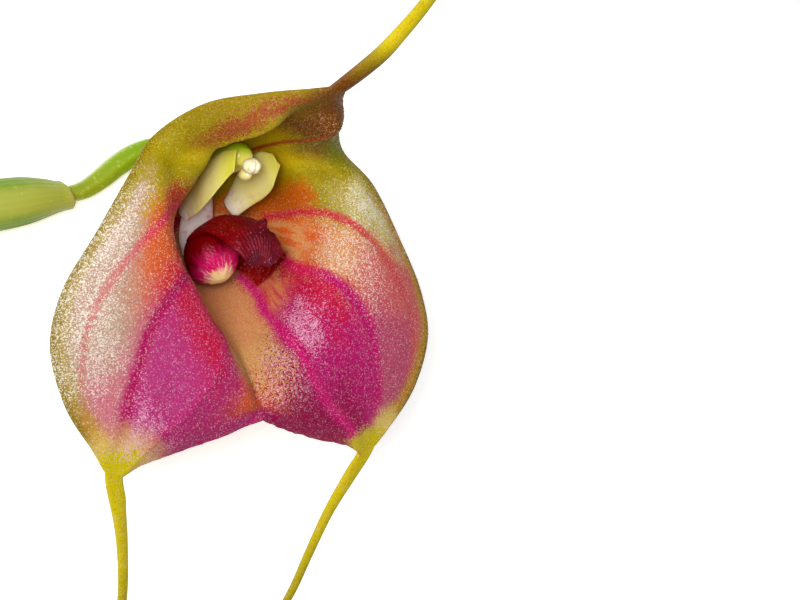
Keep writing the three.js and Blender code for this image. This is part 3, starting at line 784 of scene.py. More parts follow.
# %% Where a point of the skin lies
class Place:
    """Where a point of the skin lies, with edges that dissolve into single cells."""

    def __init__(self, paint):
        self.paint = paint
        loose, cell = paint.fog(1.8, 4.0) - 0.5, paint.lottery(0.12) - 0.5
        self.loose, self.cell = loose, cell
        self.sector = paint.mark("sector") + loose * 0.35 + cell * 0.3
        self.level = paint.mark("outward") + loose * 0.35 + cell * 0.3
        self.station = paint.mark("station") + loose * 0.8 + cell * 0.6
        # The two side blades are painted apart: partly in their own colours, and partly as painted light,
        # since the key light falls on each blade at a different angle.
        aside = paint.node("ShaderNodeSeparateXYZ", {}, {"Vector": paint.spot()}, "X")
        self.right = paint.rise(aside, -2 * MM, 2 * MM)
        self.left = 1 - self.right
        rays = {"X": paint.mark("sector") * 7, "Y": paint.mark("outward") * 1.3, "Z": self.right * 9}
        self.streak = paint.fog(1 / MM, 3.0, at=paint.node("ShaderNodeCombineXYZ", {}, rays))

    def near(self, mark, width):
        """1 on a line of the mesh and 0 from width millimetres on."""
        return self.paint.rise(self.paint.mark(mark) + (self.loose + self.cell) * width * 0.5, width, 0.1)


# %% The fields between the veins
def from_notch(paint, place):
    """From the notch beside the hood to the outer vein: olive, then tan or blush, orange in the throat, and
    painted shade on the left inner wall.
    """
    level, station, right, left = place.level, place.station, place.right, place.left
    rise = paint.rise
    return paint.coats(
        OLIVE_YELLOW,
        (rise(station, 3.4, 4.3) * rise(level, 3.4, 4.1) * right, TAN),
        (rise(station, 3.9, 4.9) * left, OCHRE),
        (rise(station + level * 1.4, 11.0, 12.2) * left, BLUSH),
        (rise(station, 4.9, 5.9) * rise(level, 4.3, 4.8) * right, ROSE),
        (paint.band(station, 3.1, 3.9, 8.0, 9.0) * rise(level, 3.45, 3.1) * right, ORANGE),
        (rise(station, 4.3, 5.1) * rise(level, 4.95, 4.5) * left, FLAME),
        # Painted shade: the left inner wall of the throat, in the crest's shadow.
        (rise(station, 3.9, 4.3) * rise(level, 4.2, 3.95) * left, WALL),
    )


def outer_to_middle(paint, place):
    """Peach with amber streaks on the right, rose outside; flame to crimson on the left, blush outside."""
    sector, level, station, rise = place.sector, place.level, place.station, paint.rise
    on_right = paint.coats(
        PEACH,
        (rise(place.streak, 0.42, 0.62) * rise(level, 3.9, 3.2), AMBER),
        (rise(level, 3.95, 4.55), ROSE),
        (rise(station, 6.4, 7.4) * rise(level, 4.5, 4.9), LILAC_ROSE),
    )
    on_left = paint.coats(
        FLAME,
        (rise(sector, 0.4, 0.95), CRIMSON),
        (rise(level, 4.45, 5.1), BLUSH),
        (rise(sector, 0.6, 1.0) * rise(level, 4.4, 4.8), PALE_ROSE),
        (rise(station, 7.3, 8.2), PALE_ROSE),
    )
    return paint.blend(place.right, on_left, on_right)


def middle_to_inner(paint, place):
    """The magenta field: crimson towards the throat, wine on the right, lilac on the left."""
    sector, level, rise = place.sector, place.level, paint.rise
    throat = paint.blend(rise(place.streak, 0.3, 0.7) * 0.8 + 0.1, PEACH, CRIMSON)
    on_right = paint.coats(
        MAGENTA,
        (rise(sector, 1.55, 1.2) * rise(level, 4.7, 4.1), CRIMSON),
        (rise(level, 4.5, 5.0) * rise(sector, 1.3, 1.8), WINE),
        (rise(level, 3.45, 3.0) * rise(sector, 1.12, 1.35), throat),
    )
    on_left = paint.coats(
        LILAC,
        (rise(level, 4.6, 4.1), CRIMSON),
        (paint.band(level, 3.83, 3.9, 3.94, 4.0) * 0.2, GLINT),
    )
    return paint.blend(place.right, on_left, on_right)


def inner_to_cleft(paint, place):
    """The gold valley below the mouth. Outside its rim, the wine and clay folds beside the cleft."""
    sector, level, rise, blend = place.sector, place.level, paint.rise, paint.blend
    valley = blend(rise(level, 2.9, 3.4) + (place.streak - 0.5) * 1.4, GOLD, SAND)
    on_right = blend(rise(sector, 2.35, 2.8) * rise(level, 5.2, 4.7), WINE, CLAY)
    on_left = blend(rise(sector, 2.3, 2.6), MAROON, blend(rise(level, 4.2, 4.9), FLAME, CLAY))
    on_left = blend(rise(level, 4.7, 5.1), on_left, MAROON)
    dissolved = level + place.cell * 1.1 * place.right
    return blend(rise(dissolved, 3.55, 4.05), valley, blend(place.right, on_left, on_right))


def hood_cover(paint, place):
    """Olive, with a russet band across the fold, green and bronze inside, and one red vein."""
    level, station, right, rise, band = place.level, place.station, place.right, paint.rise, paint.band
    across_fold = level + station * 0.55
    lining = paint.blend(rise(station, 1.0, 1.5), BRONZE, HOOD_GREEN)
    red_line = place.near("to_hood_vein", 0.4) * right * rise(level, 4.1, 3.8)
    return paint.coats(
        HOOD_OLIVE,
        (rise(level, 4.4, 4.0), HOOD_INSIDE),
        (band(across_fold, 5.0, 5.45, 5.75, 6.1) * band(station, 0, 0.4, 2.0, 2.8), RUSSET),
        (right * rise(level, 3.15, 3.6) * rise(station, 2.3, 1.6), lining),
        (red_line * 0.9, HOOD_RED),
    )


# %% Rims and veins on top
def rimmed(paint, place, colour, to_rim):
    """Gold margins, paler low on the left and olive towards the hood, with a dark edge. Both tints are partly
    painted light.
    """
    station, rise = place.station, paint.rise
    pale_left = place.left * rise(station, 9.0, 7.6)
    gold = paint.coats(RIM_GOLD, (pale_left, RIM_PALE), (rise(station, 5.0, 3.8), OLIVE_YELLOW))
    upper = rise(station, 11.2, 9.8)
    edge = rise(to_rim, 0.65, 0.1) * upper * 0.9
    return paint.coats(colour, (rise(to_rim, 2.3, 0.9) * upper, gold), (edge, EDGE))


def veined(paint, place, colour):
    """The three main veins as red lines, and the lip's shadow painted deep red on the throat under it."""
    level, right, rise, blend = place.level, place.right, paint.rise, paint.blend
    outer_line = place.near("to_outer", 0.7) * rise(place.station, 8.6, 7.0)
    outer_line = outer_line * (1 - rise(level, 4.0, 5.2) * 0.5)
    # Painted shadow: the lip's shadow falls deep red on the throat under its right end, within these depths.
    depth = paint.mark("outward") + paint.mark("station") * 0.15
    return paint.coats(
        colour,
        (outer_line * 0.95, blend(right, *OUTER_RED)),
        (place.near("to_middle", 1.0), blend(rise(level, 3.9, 3.3), blend(right, *MIDDLE_RED), THROAT_RED)),
        (place.near("to_inner", 1.0) * (0.5 + right * 0.5), blend(right, *INNER_RED)),
        (rise(depth, 3.68, 3.58) * paint.band(paint.mark("sector"), 0.7, 0.9, 1.8, 2.0) * right, LIP_SHADOW_RED),
    )


# %% The whole skin's colour
def sepal_colour(paint, place):
    """The colour of the sepals' skin from the marks of the mesh, as a wire."""
    sector, level, station, right = place.sector, place.level, place.station, place.right
    hood, tail, rise, near = paint.mark("hood"), paint.mark("tail"), paint.rise, place.near
    fields = paint.coats(
        from_notch(paint, place),
        (rise(sector, -0.05, 0.2), outer_to_middle(paint, place)),
        (rise(sector, 0.86, 1.08), middle_to_inner(paint, place)),
        (rise(sector, 1.96, 2.16), inner_to_cleft(paint, place)),
    )
    to_rim = paint.mark("to_rim") + place.loose * 1.2 + place.cell * 0.7
    # The notch beside the hood gets a darker green: painted shade in that crease.
    notch = paint.band(station, 1.9, 2.5, 3.1, 3.7) * rise(level, 4.0, 4.8) * right
    to_tail = paint.mark("to_side_tail") + place.loose * 2 + place.cell
    beside_tail = place.left * 0.7 + right * rise(to_rim, 3.4, 1.6) * rise(station, 10.2, 9.5)
    tail_colour = paint.blend(rise(tail + place.loose * 0.3, 0.1, 0.6), TAIL_YELLOW, TAIL_OLIVE)
    face = paint.coats(
        veined(paint, place, rimmed(paint, place, fields, to_rim)),
        (hood, hood_cover(paint, place)),
        (notch * 0.8, NOTCH_SHADE_GREEN),
        (rise(to_tail, 6.5, 3.5) * beside_tail, CREAM),
        (rise(to_tail, 3.8, 2.5) * rise(station, 11.0, 10.2), TAIL_YELLOW),
        (rise(paint.mark("to_hood_tail") + place.loose * 1.5, 5.0, 1.0), BRONZE),
        (rise(tail, 0.0, 0.05) * (1 - hood * rise(tail, 0.22, 0.1)), tail_colour),
    )
    # The back is plainer: green towards the tube, flushed with rose on the blades.
    lines = (near("to_middle", 0.5) + near("to_outer", 0.5)) * rise(level, 2.2, 3.4)
    back = paint.coats(
        BACK_GREEN,
        (rise(level, 3.6, 5.2), BACK_ROSE),
        (hood * 0.8, HOOD_OLIVE),
        (rise(to_rim, 2.4, 0.3), RIM_GOLD),
        (rise(tail, 0.0, 0.02), tail_colour),
        (lines * 0.45, BACK_RED),
    )
    return paint.blend(rise(paint.mark("front"), 0.3, 0.6), back, face)


# %% Pale cells
def pearl_and_sheen_share(paint, place):
    """How thickly the skin is sown with pale cells, from 0 to 1: pale papillae, sown thicker as a painted
    sheen where they face the key light.
    """
    sector, level, station, right, left = place.sector, place.level, place.station, place.right, place.left
    rise, band, near = paint.rise, paint.band, place.near
    # The right shoulder and the left blade's outer part face the key light, so there the pale cells are
    # partly a painted sheen.
    shoulder = right * band(station, 3.3, 3.9, 4.7, 5.8) * rise(level, 3.8, 4.3)
    on_left = left * band(station, 3.9, 5.0, 7.4, 8.6) * rise(level, 4.8, 5.4) * rise(sector, 1.0, 0.6)
    throat = right * band(sector, 0.0, 0.3, 0.8, 1.0) * band(level, 3.2, 3.6, 4.4, 5.0)
    patch = right * band(sector, 1.3, 1.6, 1.9, 2.1) * band(level, 3.3, 3.6, 4.0, 4.4)
    foot = left * band(sector, 1.0, 1.3, 2.05, 2.3) * rise(level, 4.9, 5.4)
    valley = rise(sector, 2.0, 2.2) * band(level, 3.2, 3.6, 4.3, 4.8) * right
    lining = paint.mark("hood") * right * band(level, 3.2, 3.5, 4.4, 4.9)
    share = (shoulder + on_left) * 0.43 + throat * 0.36 + patch * 0.6 + foot * 0.45 + valley * 0.24
    veins = near("to_outer", 0.7) + near("to_middle", 1.1) + near("to_inner", 1.4)
    at_rim = rise(paint.mark("to_rim"), 2.2, 0.6) * (0.35 + right * 0.5)
    share = (share + lining * 0.12) * (1 - at_rim) * (1 - rise(veins, 0.1, 0.9) * 0.85) + 0.055
    share = share * (paint.fog(2.4, 3.0) + place.streak * 1.6 - 0.3) * rise(level, 2.9, 3.6)
    share = share * rise(paint.mark("to_side_tail"), 1.4, 2.6) * rise(paint.mark("tail"), 0.02, 0.0)
    return share * rise(paint.mark("front"), 0.3, 0.7)


def pearl_colour(paint):
    """Pale cells are straw yellow on the olive parts, cream on the shoulders and pink on the magenta."""
    station, rise = paint.mark("station"), paint.rise
    return paint.coats(
        STRAW,
        (rise(station, 3.4, 4.4), PEARL),
        (rise(paint.mark("sector"), 0.8, 1.2) * 0.7, PINK_PEARL),
        (paint.mark("hood"), paint.blend(rise(station, 2.6, 1.6), STRAW, HOOD_PEARL)),
    )


# %% The sepals' finish
def sepal_finish():
    paint = Finish("sepal_skin", Specular_IOR_Level=0.1, IOR=1.42, Subsurface_Weight=0.06,
                   Subsurface_Scale=0.0006, Subsurface_Radius=(1.0, 0.35, 0.25))
    place = Place(paint)
    ground, pearls = sepal_colour(paint, place), pearl_and_sheen_share(paint, place)
    draw, ticket = paint.lottery(0.1), paint.lottery(0.14)
    pale = paint.rise(draw - (1 - pearls), -0.2, 0.2)
    dark = paint.rise(ticket, 0.55, 0.95) * 0.4 * (1 - pale)
    deeper = paint.node("ShaderNodeVectorMath", {"operation": "MULTIPLY"}, {0: ground, 1: SHADE})
    skin = paint.coats(ground, (pale * (0.4 + ticket * 0.45), pearl_colour(paint)), (dark, deeper))
    domes = paint.grains(0.17) * -1.0 + paint.fog(0.9, 3.0) * 0.6
    return paint.wear(Base_Color=skin, Normal=paint.bump(domes, 0.05, 0.6), Roughness=0.5 - pale * 0.25)


make_piece("sepal_cup", cup_points, sheet_faces, sepal_finish(), "sepal", ["sepal_cup"], cup_marks)

# %% [markdown]
# ### Glistening skin cells
# The front of the sepals is covered with papillae, cells that stand up like tiny domes. A bump in the
# finish gives their shading, but only real domes break the outline and catch the light from every side.
# So some thousands of small closed domes are sown over the front, each with the marks of its place.

# %% Sow the papillae
PAPILLAE = 15000
PAPILLA_RADIUS = (0.03, 0.07)
PAPILLA_POINTS = 6
SUNK = 0.3  # share of the radius that sits in the skin
SOWN_FROM, SOWN_TO = 2.7, 5.97  # levels

high = np.linalg.norm(front[1:] - front[:-1], axis=2)
broad = np.linalg.norm(np.roll(front, -1, 1) - front, axis=2)[:-1]
spread = high * broad * (outward[:-1] > SOWN_FROM) * (outward[:-1] < SOWN_TO)
picked = chance.choice(spread.size, PAPILLAE, p=(spread / spread.sum()).ravel())
row, column = np.unravel_index(picked, spread.shape)
up_share, side_share = chance.random((2, PAPILLAE))
beside = (column + 1) % columns


def between(grid):
    """Grid values read inside the picked cells."""
    u, v = (share.reshape(-1, *[1] * (grid.ndim - 2)) for share in (up_share, side_share))
    lower = grid[row, column] * (1 - v) + grid[row, beside] * v
    upper = grid[row + 1, column] * (1 - v) + grid[row + 1, beside] * v
    return lower * (1 - u) + upper * u


upright = unit(between(normals))
sideways = unit(np.cross(upright, (0.3, 0.5, 0.81)))
other = np.cross(upright, sideways)
radius = chance.uniform(*PAPILLA_RADIUS, PAPILLAE)[:, None]
middle = between(front) + upright * radius * SUNK
ways = [upright, -upright, sideways, other, -sideways, -other]
dome_points = np.stack([middle + way * radius for way in ways], 1).reshape(-1, 3)
TOP, BOTTOM, SIDES = 0, 1, (2, 3, 4, 5)
pattern = [(TOP, SIDES[k], SIDES[(k + 1) % 4]) for k in range(4)]
pattern += [(BOTTOM, SIDES[(k + 1) % 4], SIDES[k]) for k in range(4)]
first_points = np.arange(PAPILLAE)[:, None, None] * PAPILLA_POINTS
dome_faces = (first_points + np.array(pattern)[None]).reshape(-1, 3)

papilla_marks = {name: np.repeat(between(grid), PAPILLA_POINTS) for name, grid in grid_marks.items()}
papilla_marks["tail"] = np.zeros(len(dome_points))
papilla_marks["front"] = np.ones(len(dome_points))
add_tail_distances(papilla_marks, dome_points)
papilla_marks["ticket"] = np.repeat(chance.random(PAPILLAE), PAPILLA_POINTS)


# %% The papillae's finish
def papilla_finish():
    paint = Finish("papilla_skin", Roughness=0.22, Specular_IOR_Level=0.6)
    place, pearl = Place(paint), pearl_colour(paint)
    # Pale domes follow the same share, so they too are partly a painted sheen.
    pale = paint.rise(paint.mark("ticket") - (1 - pearl_and_sheen_share(paint, place)), -0.05, 0.05)
    return paint.wear(Base_Color=paint.coats(sepal_colour(paint, place), (0.08, pearl), (pale * 0.6, pearl)))


make_piece("papillae", dome_points, [dome_faces], papilla_finish(), "sepal", marks=papilla_marks)

# %% [markdown]
# ## Petals
# The two petals are small and fleshy, almost like wax: an oblong blade with a keel along its lower edge
# and two little teeth at the tip. A bar with a flat oval section gives blade and keel in one go, and the
# last rings are pushed out at the corners to make the teeth.

# %% Petals
PETAL = {
    "petal_right": [
        [2.4, 9.6, -6.85], [2.7, 10.9, -5.3], [2.9, 12.0, -3.8], [2.95, 12.8, -2.1], [2.95, 13.3, -0.3],
        [3.0, 13.6, 1.4],
    ],
    "petal_left": [
        [-3.0, 8.7, -7.1], [-2.75, 9.6, -6.6], [-2.7, 10.8, -4.5], [-2.75, 12.0, -2.1], [-2.5, 13.15, 0.3],
        [-2.2, 13.7, 2.1],
    ],
    "width": [1.1, 1.5, 1.9, 2.0, 1.75, 1.15],
    "depth": [0.34, 0.42, 0.45, 0.42, 0.4, 0.34],
}
PETAL_FLARE, PETAL_SLOPE, PETAL_KEEL = 0.28, -0.9, 0.12
PETAL_RINGS, PETAL_SIDES = 70, 44
# How far the two corners of each tip stand out: along the petal on the upper side, then on the keel's side
# along the petal and upwards.
TIP_CORNERS = {"petal_right": (-0.2, 1.3, 1.3), "petal_left": (0.1, 0.15, 0.0)}
TIP_THINNING, TIP_START, TIP_SPAN, PETAL_WARP = 0.65, 0.72, 0.28, 0.10
CREAM_WAX, FOOT_WAX, PINK_FLUSH = lit(232, 218, 138), lit(246, 226, 204), lit(216, 150, 140)
TIP_GREEN, EDGE_YELLOW, LEFT_GREEN = lit(206, 196, 40), lit(226, 204, 70), lit(200, 206, 60)


def petal_section(angle, t):
    """The keel, and the square shoulders of a real blade."""
    shoulders = 1 + 0.06 * np.cos(2 * angle) ** 2
    return shoulders * (1 + PETAL_KEEL * np.maximum(0, -np.cos(angle)) ** 3)


def make_petal(name, side, finish):
    upwards = np.array([-PETAL_FLARE * side, 1, PETAL_SLOPE])
    rings, _, angle = bar_rings(PETAL[name], PETAL["width"], PETAL["depth"], PETAL_RINGS, PETAL_SIDES,
                                upwards, petal_section)
    tip_way = unit(rings[-1].mean(0) - rings[-8].mean(0))
    near_tip = (np.linspace(0, 1, PETAL_RINGS) - TIP_START) / TIP_SPAN
    near_tip = np.clip(near_tip, 0, 1)[:, None] ** 2
    upper, keel_side = np.maximum(0, np.cos(angle)) ** 2, np.maximum(0, -np.cos(angle)) ** 2
    push_upper, push_keel, lift_keel = TIP_CORNERS[name]
    rings = rings + (near_tip * (push_upper * upper + push_keel * keel_side))[..., None] * tip_way
    rings = rings + (near_tip * lift_keel * keel_side)[..., None] * unit(upwards)
    thin_way = unit(np.cross(tip_way, upwards))
    thickness = (rings - rings.mean(1, keepdims=True)) @ thin_way
    rings = rings - (TIP_THINNING * near_tip * thickness)[..., None] * thin_way
    rings = rings + PETAL_WARP * drift(rings, 2.4, 4.0 * side)[..., None] * np.array([side, 0.3, 0])
    rings = round_ends(rings, first=0.15, last=0.14)
    points, faces = closed_skin(rings)
    edge = np.tile(np.abs(np.cos(angle)), len(rings))
    green = np.clip((np.linspace(0, 1, len(rings)) - 0.7) / 0.25, 0, 1) * (side < 0)
    marks = {
        "lengthwise": lengthwise_mark(rings),
        "edge": [*edge, 0, 0],
        "green": ring_mark(green, PETAL_SIDES, (0, side < 0)),
    }
    make_piece(name, points, faces, finish, "petal", [name], marks)


# %% The petals' wax
def petal_finish():
    paint = Finish("petal_wax", Subsurface_Weight=0.7, Subsurface_Scale=0.0022,
                   Subsurface_Radius=(1.0, 0.75, 0.35), IOR=1.42)
    lengthwise, cloud, rise = paint.mark("lengthwise"), paint.fog(1.1, 3.0) - 0.5, paint.rise
    flush = rise(paint.fog(0.9, 2.0), 0.56, 0.72) * rise(lengthwise, 0.75, 0.35)
    wax = paint.coats(
        CREAM_WAX,
        (rise(lengthwise + cloud * 0.3, 0.42, 0.02), FOOT_WAX),
        (rise(lengthwise + cloud * 0.2, 0.7, 1.0) * 0.8, TIP_GREEN),
        (rise(paint.mark("edge") + cloud * 0.3, 0.75, 1.0) * 0.35, EDGE_YELLOW),
        (paint.mark("green") * 0.6, LEFT_GREEN),
        (flush * 0.35, PINK_FLUSH),
    )
    grain = paint.fog(0.16, 3.0)
    return paint.wear(Base_Color=wax, Normal=paint.bump(grain, 0.03, 0.4), Roughness=0.32 + grain * 0.16)


petal_wax = petal_finish()
make_petal("petal_right", 1, petal_wax)
make_petal("petal_left", -1, petal_wax)

# %% [markdown]
# ## Column
# The column carries the stamen and the stigma. It arches forward over the lip, green on its back and
# cream on its flanks, and its long foot runs down into the chin, where the lip is hinged. Two bars are
# enough, but the arch gets thin wings along its under side, as the real one has.

# %% Column and foot
COLUMN_LINE = [
    [0, 11.3, -9.0], [0, 12.9, -7.2], [0, 14.0, -4.8], [0, 14.4, -2.4], [0, 14.45, -0.7], [0, 14.3, 0.3],
]
COLUMN_RADIUS = [1.15, 1.45, 1.5, 1.45, 1.35, 0.95]
FOOT = {
    "line": [[0, 11.4, -8.3], [0, 9.8, -9.1], [0, 8.0, -9.8], [0, 6.2, -10.4], [0, 4.75, -10.8]],
    "width": [1.1, 1.6, 1.9, 1.7, 1.1],
    "depth": [0.4, 0.45, 0.5, 0.5, 0.42],
}
WING, WING_WIDTH, WING_ANGLES = 0.10, 0.22, np.radians([-52, 232])


def winged(angle, t):
    """Two low ridges along the under side of the arch, strongest towards its tip."""
    ridges = sum(bell(np.mod(angle - wing + np.pi, 2 * np.pi) - np.pi, WING_WIDTH) for wing in WING_ANGLES)
    return 1 + WING * ridges * (0.3 + 0.7 * t)


arch, _, _ = bar_rings(COLUMN_LINE, COLUMN_RADIUS, COLUMN_RADIUS, 90, 56, shape=winged)
arch = round_ends(arch, last=0.3)
foot, _, _ = bar_rings(FOOT["line"], FOOT["width"], FOOT["depth"], 60, 40)
foot = round_ends(foot + 0.05 * drift(foot, 1.4, 7.0)[..., None] * (0, 0.4, 1), first=0.2, last=0.2)
arch_skin, foot_skin = closed_skin(arch), closed_skin(foot)
column_points, column_faces = joined(arch_skin, foot_skin)
foot_count = len(foot_skin[0])
dorsal = (arch - arch.mean(1, keepdims=True))[..., 1].ravel()
column_marks = {
    "dorsal": [*dorsal, 0, 0, *np.zeros(foot_count)],
    "lengthwise": [*lengthwise_mark(arch), *np.zeros(foot_count)],
    "foot": [*np.zeros(len(arch_skin[0])), *np.ones(foot_count)],
}

# %% The column's finish
FLANK_CREAM, BACK_LIME, COLUMN_BASE = lit(232, 222, 100), lit(166, 200, 8), lit(214, 186, 120)
FOOT_PALE, FOOT_PINK = lit(255, 230, 224), lit(244, 172, 180)


def column_finish():
    paint = Finish("column_flesh", Roughness=0.3, Subsurface_Weight=0.6, Subsurface_Scale=0.002,
                   Subsurface_Radius=(1.0, 0.85, 0.75), Coat_Weight=0.2, Coat_Roughness=0.15, IOR=1.42)
    cloud, rise = paint.fog(0.9, 3.0) - 0.5, paint.rise
    flesh = paint.coats(
        FLANK_CREAM,
        (rise(paint.mark("dorsal") + cloud * 0.8, -0.2, 0.9), BACK_LIME),
        (rise(paint.mark("lengthwise") + cloud * 0.2, 0.45, 0.05), COLUMN_BASE),
        (paint.mark("foot"), paint.blend(rise(paint.fog(0.7, 3.0), 0.5, 0.75), FOOT_PALE, FOOT_PINK)),
    )
    return paint.wear(Base_Color=flesh, Normal=paint.bump(paint.fog(0.2, 3.0), 0.03, 0.4))


make_piece("column", column_points, column_faces, column_finish(), "column", ["column"], column_marks)

# %% [markdown]
# ## Anther cap
# A cream cap with two lobes closes the tip of the column over the pollen. A glossy drop hangs under it,
# the sticky beak that glues the pollen to an insect. Two balls serve both, and noise pushes the cap's out of
# shape.

# %% Cap and bead
def ball_rings(centre, radius, count, sides):
    """Rings of an ellipsoid from its lowest to its highest z."""
    tilt = np.linspace(-np.pi / 2, np.pi / 2, count + 2)[1:-1]
    angle = np.linspace(0, 2 * np.pi, sides, endpoint=False)
    tilt, angle = np.meshgrid(tilt, angle, indexing="ij")
    shape = np.stack([np.cos(tilt) * np.cos(angle), np.cos(tilt) * np.sin(angle), np.sin(tilt)], -1)
    return np.asarray(centre) + shape * np.asarray(radius), shape


CAP_CREAM, CAP_OCHRE, BEAD_CREAM = lit(246, 238, 204), lit(224, 206, 132), lit(236, 226, 150)
CLEFT_DEPTH, CLEFT_WIDTH = 0.16, 0.16

cap, cap_shape = ball_rings([0, 13.25, 1.7], [0.9, 0.85, 1.1], 46, 64)
cleft = CLEFT_DEPTH * bell(cap_shape[..., 0], CLEFT_WIDTH) * (cap_shape[..., 1] < 0.6)
lobes = 1 - cleft + 0.05 * drift(cap, 0.5, 2.0)
cap = cap.mean((0, 1)) + (cap - cap.mean((0, 1))) * lobes[..., None]
bead, _ = ball_rings([0, 12.5, 0.4], [0.6, 0.6, 0.95], 40, 56)
cap_skin, bead_skin = closed_skin(cap), closed_skin(bead)
anther_skin = joined(cap_skin, bead_skin)
anther_marks = {"bead": [*np.zeros(len(cap_skin[0])), *np.ones(len(bead_skin[0]))]}


# %% The cap's finish
def cap_finish():
    paint = Finish("cap_wax", Subsurface_Weight=0.3, Subsurface_Scale=0.0009,
                   Subsurface_Radius=(1.0, 0.8, 0.5), Coat_Weight=0.5, Coat_Roughness=0.08)
    bead_share, speck = paint.mark("bead"), paint.fog(0.3, 3.0)
    wax = paint.coats(CAP_CREAM, (paint.rise(speck, 0.45, 0.75), CAP_OCHRE), (bead_share, BEAD_CREAM))
    return paint.wear(Base_Color=wax, Roughness=0.3 - bead_share * 0.18,
                      Normal=paint.bump(speck * (1 - bead_share), 0.05, 0.5))


make_piece("anther_cap", *anther_skin, cap_finish(), "anther_cap", ["anther_cap"], anther_marks)

# %% [markdown]
# ## Lip
# The lip is the landing place: a saddle-shaped blade over a swollen glossy base. The blade is ridged along
# its length and velvety at its tip; the base is dark red with pink streaks that run out from a cream
# point. The ridges are real geometry, since the light grazes them, and the streaks are a mark that is
# worked out on the ball, because a noise bent round an axis is simpler in arrays than in nodes.

# %% Lip blade
LIP_BLADE = {
    "line": [
        [0, 6.2, -8.4], [0, 7.8, -6.4], [0, 8.6, -3.8], [0.1, 8.5, -1.2], [0.35, 7.7, 1.2], [0.45, 5.9, 2.7],
        [0.5, 3.5, 2.9],
    ],
    "half_width": [1.9, 2.9, 3.0, 3.1, 3.1, 2.5, 1.1],
    "droop": [0.6, 1.5, 1.7, 1.8, 1.9, 1.3, 0.3],
}
LIP_THICKNESS = 0.7
LIP_STEPS, LIP_CELLS = 110, 90
RIDGES, RIDGE_HEIGHT = 17, 0.035
TOOTH_PLACE, TOOTH_HEIGHT = (0.66, 0.38), 0.6
WANDER, CRUMPLE, CRINKLE, VELVET = 0.10, 0.26, 0.22, 0.05

t, w = np.meshgrid(np.linspace(0, 1, LIP_STEPS + 1), np.linspace(-1, 1, LIP_CELLS + 1), indexing="ij")
spine = on_curve(LIP_BLADE["line"], t[:, 0])[:, None]
half_width = along(LIP_BLADE["half_width"], t)
droop = along(LIP_BLADE["droop"], t)
blade = np.stack([spine[..., 0] + w * half_width, spine[..., 1] - droop * w * w, spine[..., 2] + 0 * w], -1)
blade_normal = unit(np.cross(np.gradient(blade, axis=0), np.gradient(blade, axis=1)))
inside = np.clip((1 - np.abs(w)) / 0.1, 0, 1) * np.clip((1 - t) / 0.05, 0, 1)
wander = drift(blade, 2.2, 1.0)
ridge = np.sin((w * (1.15 - 0.35 * t) + WANDER * wander) * np.pi * RIDGES)
rough = drift(blade, 0.4, 9.0)
crumple = drift(blade, 1.15, 31.0) * np.clip((t - 0.3) / 0.3, 0, 1)
tooth = np.exp(-(((t - TOOTH_PLACE[0]) / 0.045) ** 2) - ((w - TOOTH_PLACE[1]) / 0.11) ** 2)
lift = RIDGE_HEIGHT * ridge + VELVET * rough * np.clip((t - 0.4) / 0.3, 0, 1) + WANDER * wander
lift = lift + CRUMPLE * crumple + TOOTH_HEIGHT * tooth
crinkle = CRINKLE * drift(blade, 1.1, 20.0) * (1 - inside) * np.clip(t / 0.2, 0, 1)
top = blade + blade_normal * (lift * inside)[..., None]
top[..., 0] += crinkle * np.sign(w)
top[..., 2] += crinkle
under = blade - blade_normal * (LIP_THICKNESS - 0.35 * (1 - inside))[..., None]
under[..., 0] += crinkle * np.sign(w)
lip_rings = np.concatenate([top, under[:, ::-1]], axis=1)
blade_skin = closed_skin(lip_rings)

# %% Lip base
LIP_KNOB, KNOB_RADIUS = np.array([-0.2, 4.6, -6.2]), np.array([2.8, 3.05, 2.75])
CREAM_TIP = np.array([0.12, -0.80, 0.58])  # the way from the knob's middle to the cream point
LIP_NECK = {
    "line": [[0, 4.4, -7.0], [0, 4.4, -8.6], [0, 4.5, -9.5]],
    "width": [1.0, 0.8, 0.6],
    "depth": [0.8, 0.5, 0.4],
}
STREAK_RAYS = 5.5

knob, knob_shape = ball_rings([0, 0, 0], [1, 1, 1], 90, 130)
swell = 1 + 0.06 * drift(knob, 0.8, 3.0) + 0.02 * drift(knob, 0.25, 6.0)
swell = swell - 0.05 * bell(knob_shape[..., 0], 0.12) * (knob_shape[..., 1] > 0)
tip_way = unit(CREAM_TIP)
from_tip = np.arccos(np.clip(knob_shape @ tip_way, -1, 1))
pimple = 0.05 * bell(from_tip, 0.34)
knob = LIP_KNOB + knob_shape * KNOB_RADIUS * (swell + pimple)[..., None]
side_way = unit(np.cross(tip_way, (1.0, 0, 0)))
third_way = np.cross(tip_way, side_way)
round_tip = np.arctan2(knob_shape @ third_way, knob_shape @ side_way)
ray = np.stack([np.cos(round_tip) * STREAK_RAYS, np.sin(round_tip) * STREAK_RAYS, from_tip * 1.3], -1)
streak = drift(ray, 1.0, 5.0) + 0.5 * drift(ray * 2.3, 1.0, 15.0)
neck, _, _ = bar_rings(LIP_NECK["line"], LIP_NECK["width"], LIP_NECK["depth"], 20, 24)
knob_skin, neck_skin = closed_skin(knob), closed_skin(neck)
lip_points, lip_faces = joined(blade_skin, knob_skin, neck_skin)
neck_zeros = np.zeros(len(neck_skin[0]))


def knob_mark(values, blade_value=0.0):
    ends = [values[0].mean(), values[-1].mean()]
    return [*np.full(len(blade_skin[0]), blade_value), *values.ravel(), *ends, *neck_zeros]


def blade_mark(values):
    both = np.concatenate([values, values[:, ::-1]], axis=1).ravel()
    return [*both, values[0].mean(), values[-1].mean(), *np.zeros(len(knob_skin[0])), *neck_zeros]


lip_marks = {
    "from_tip": knob_mark(from_tip, 3.0),
    "streak": knob_mark(streak),
    "knob": knob_mark(np.ones_like(from_tip)),
    "lengthwise": blade_mark(t),
    "ridge": blade_mark(ridge),
    "aside": blade_mark(w),
}

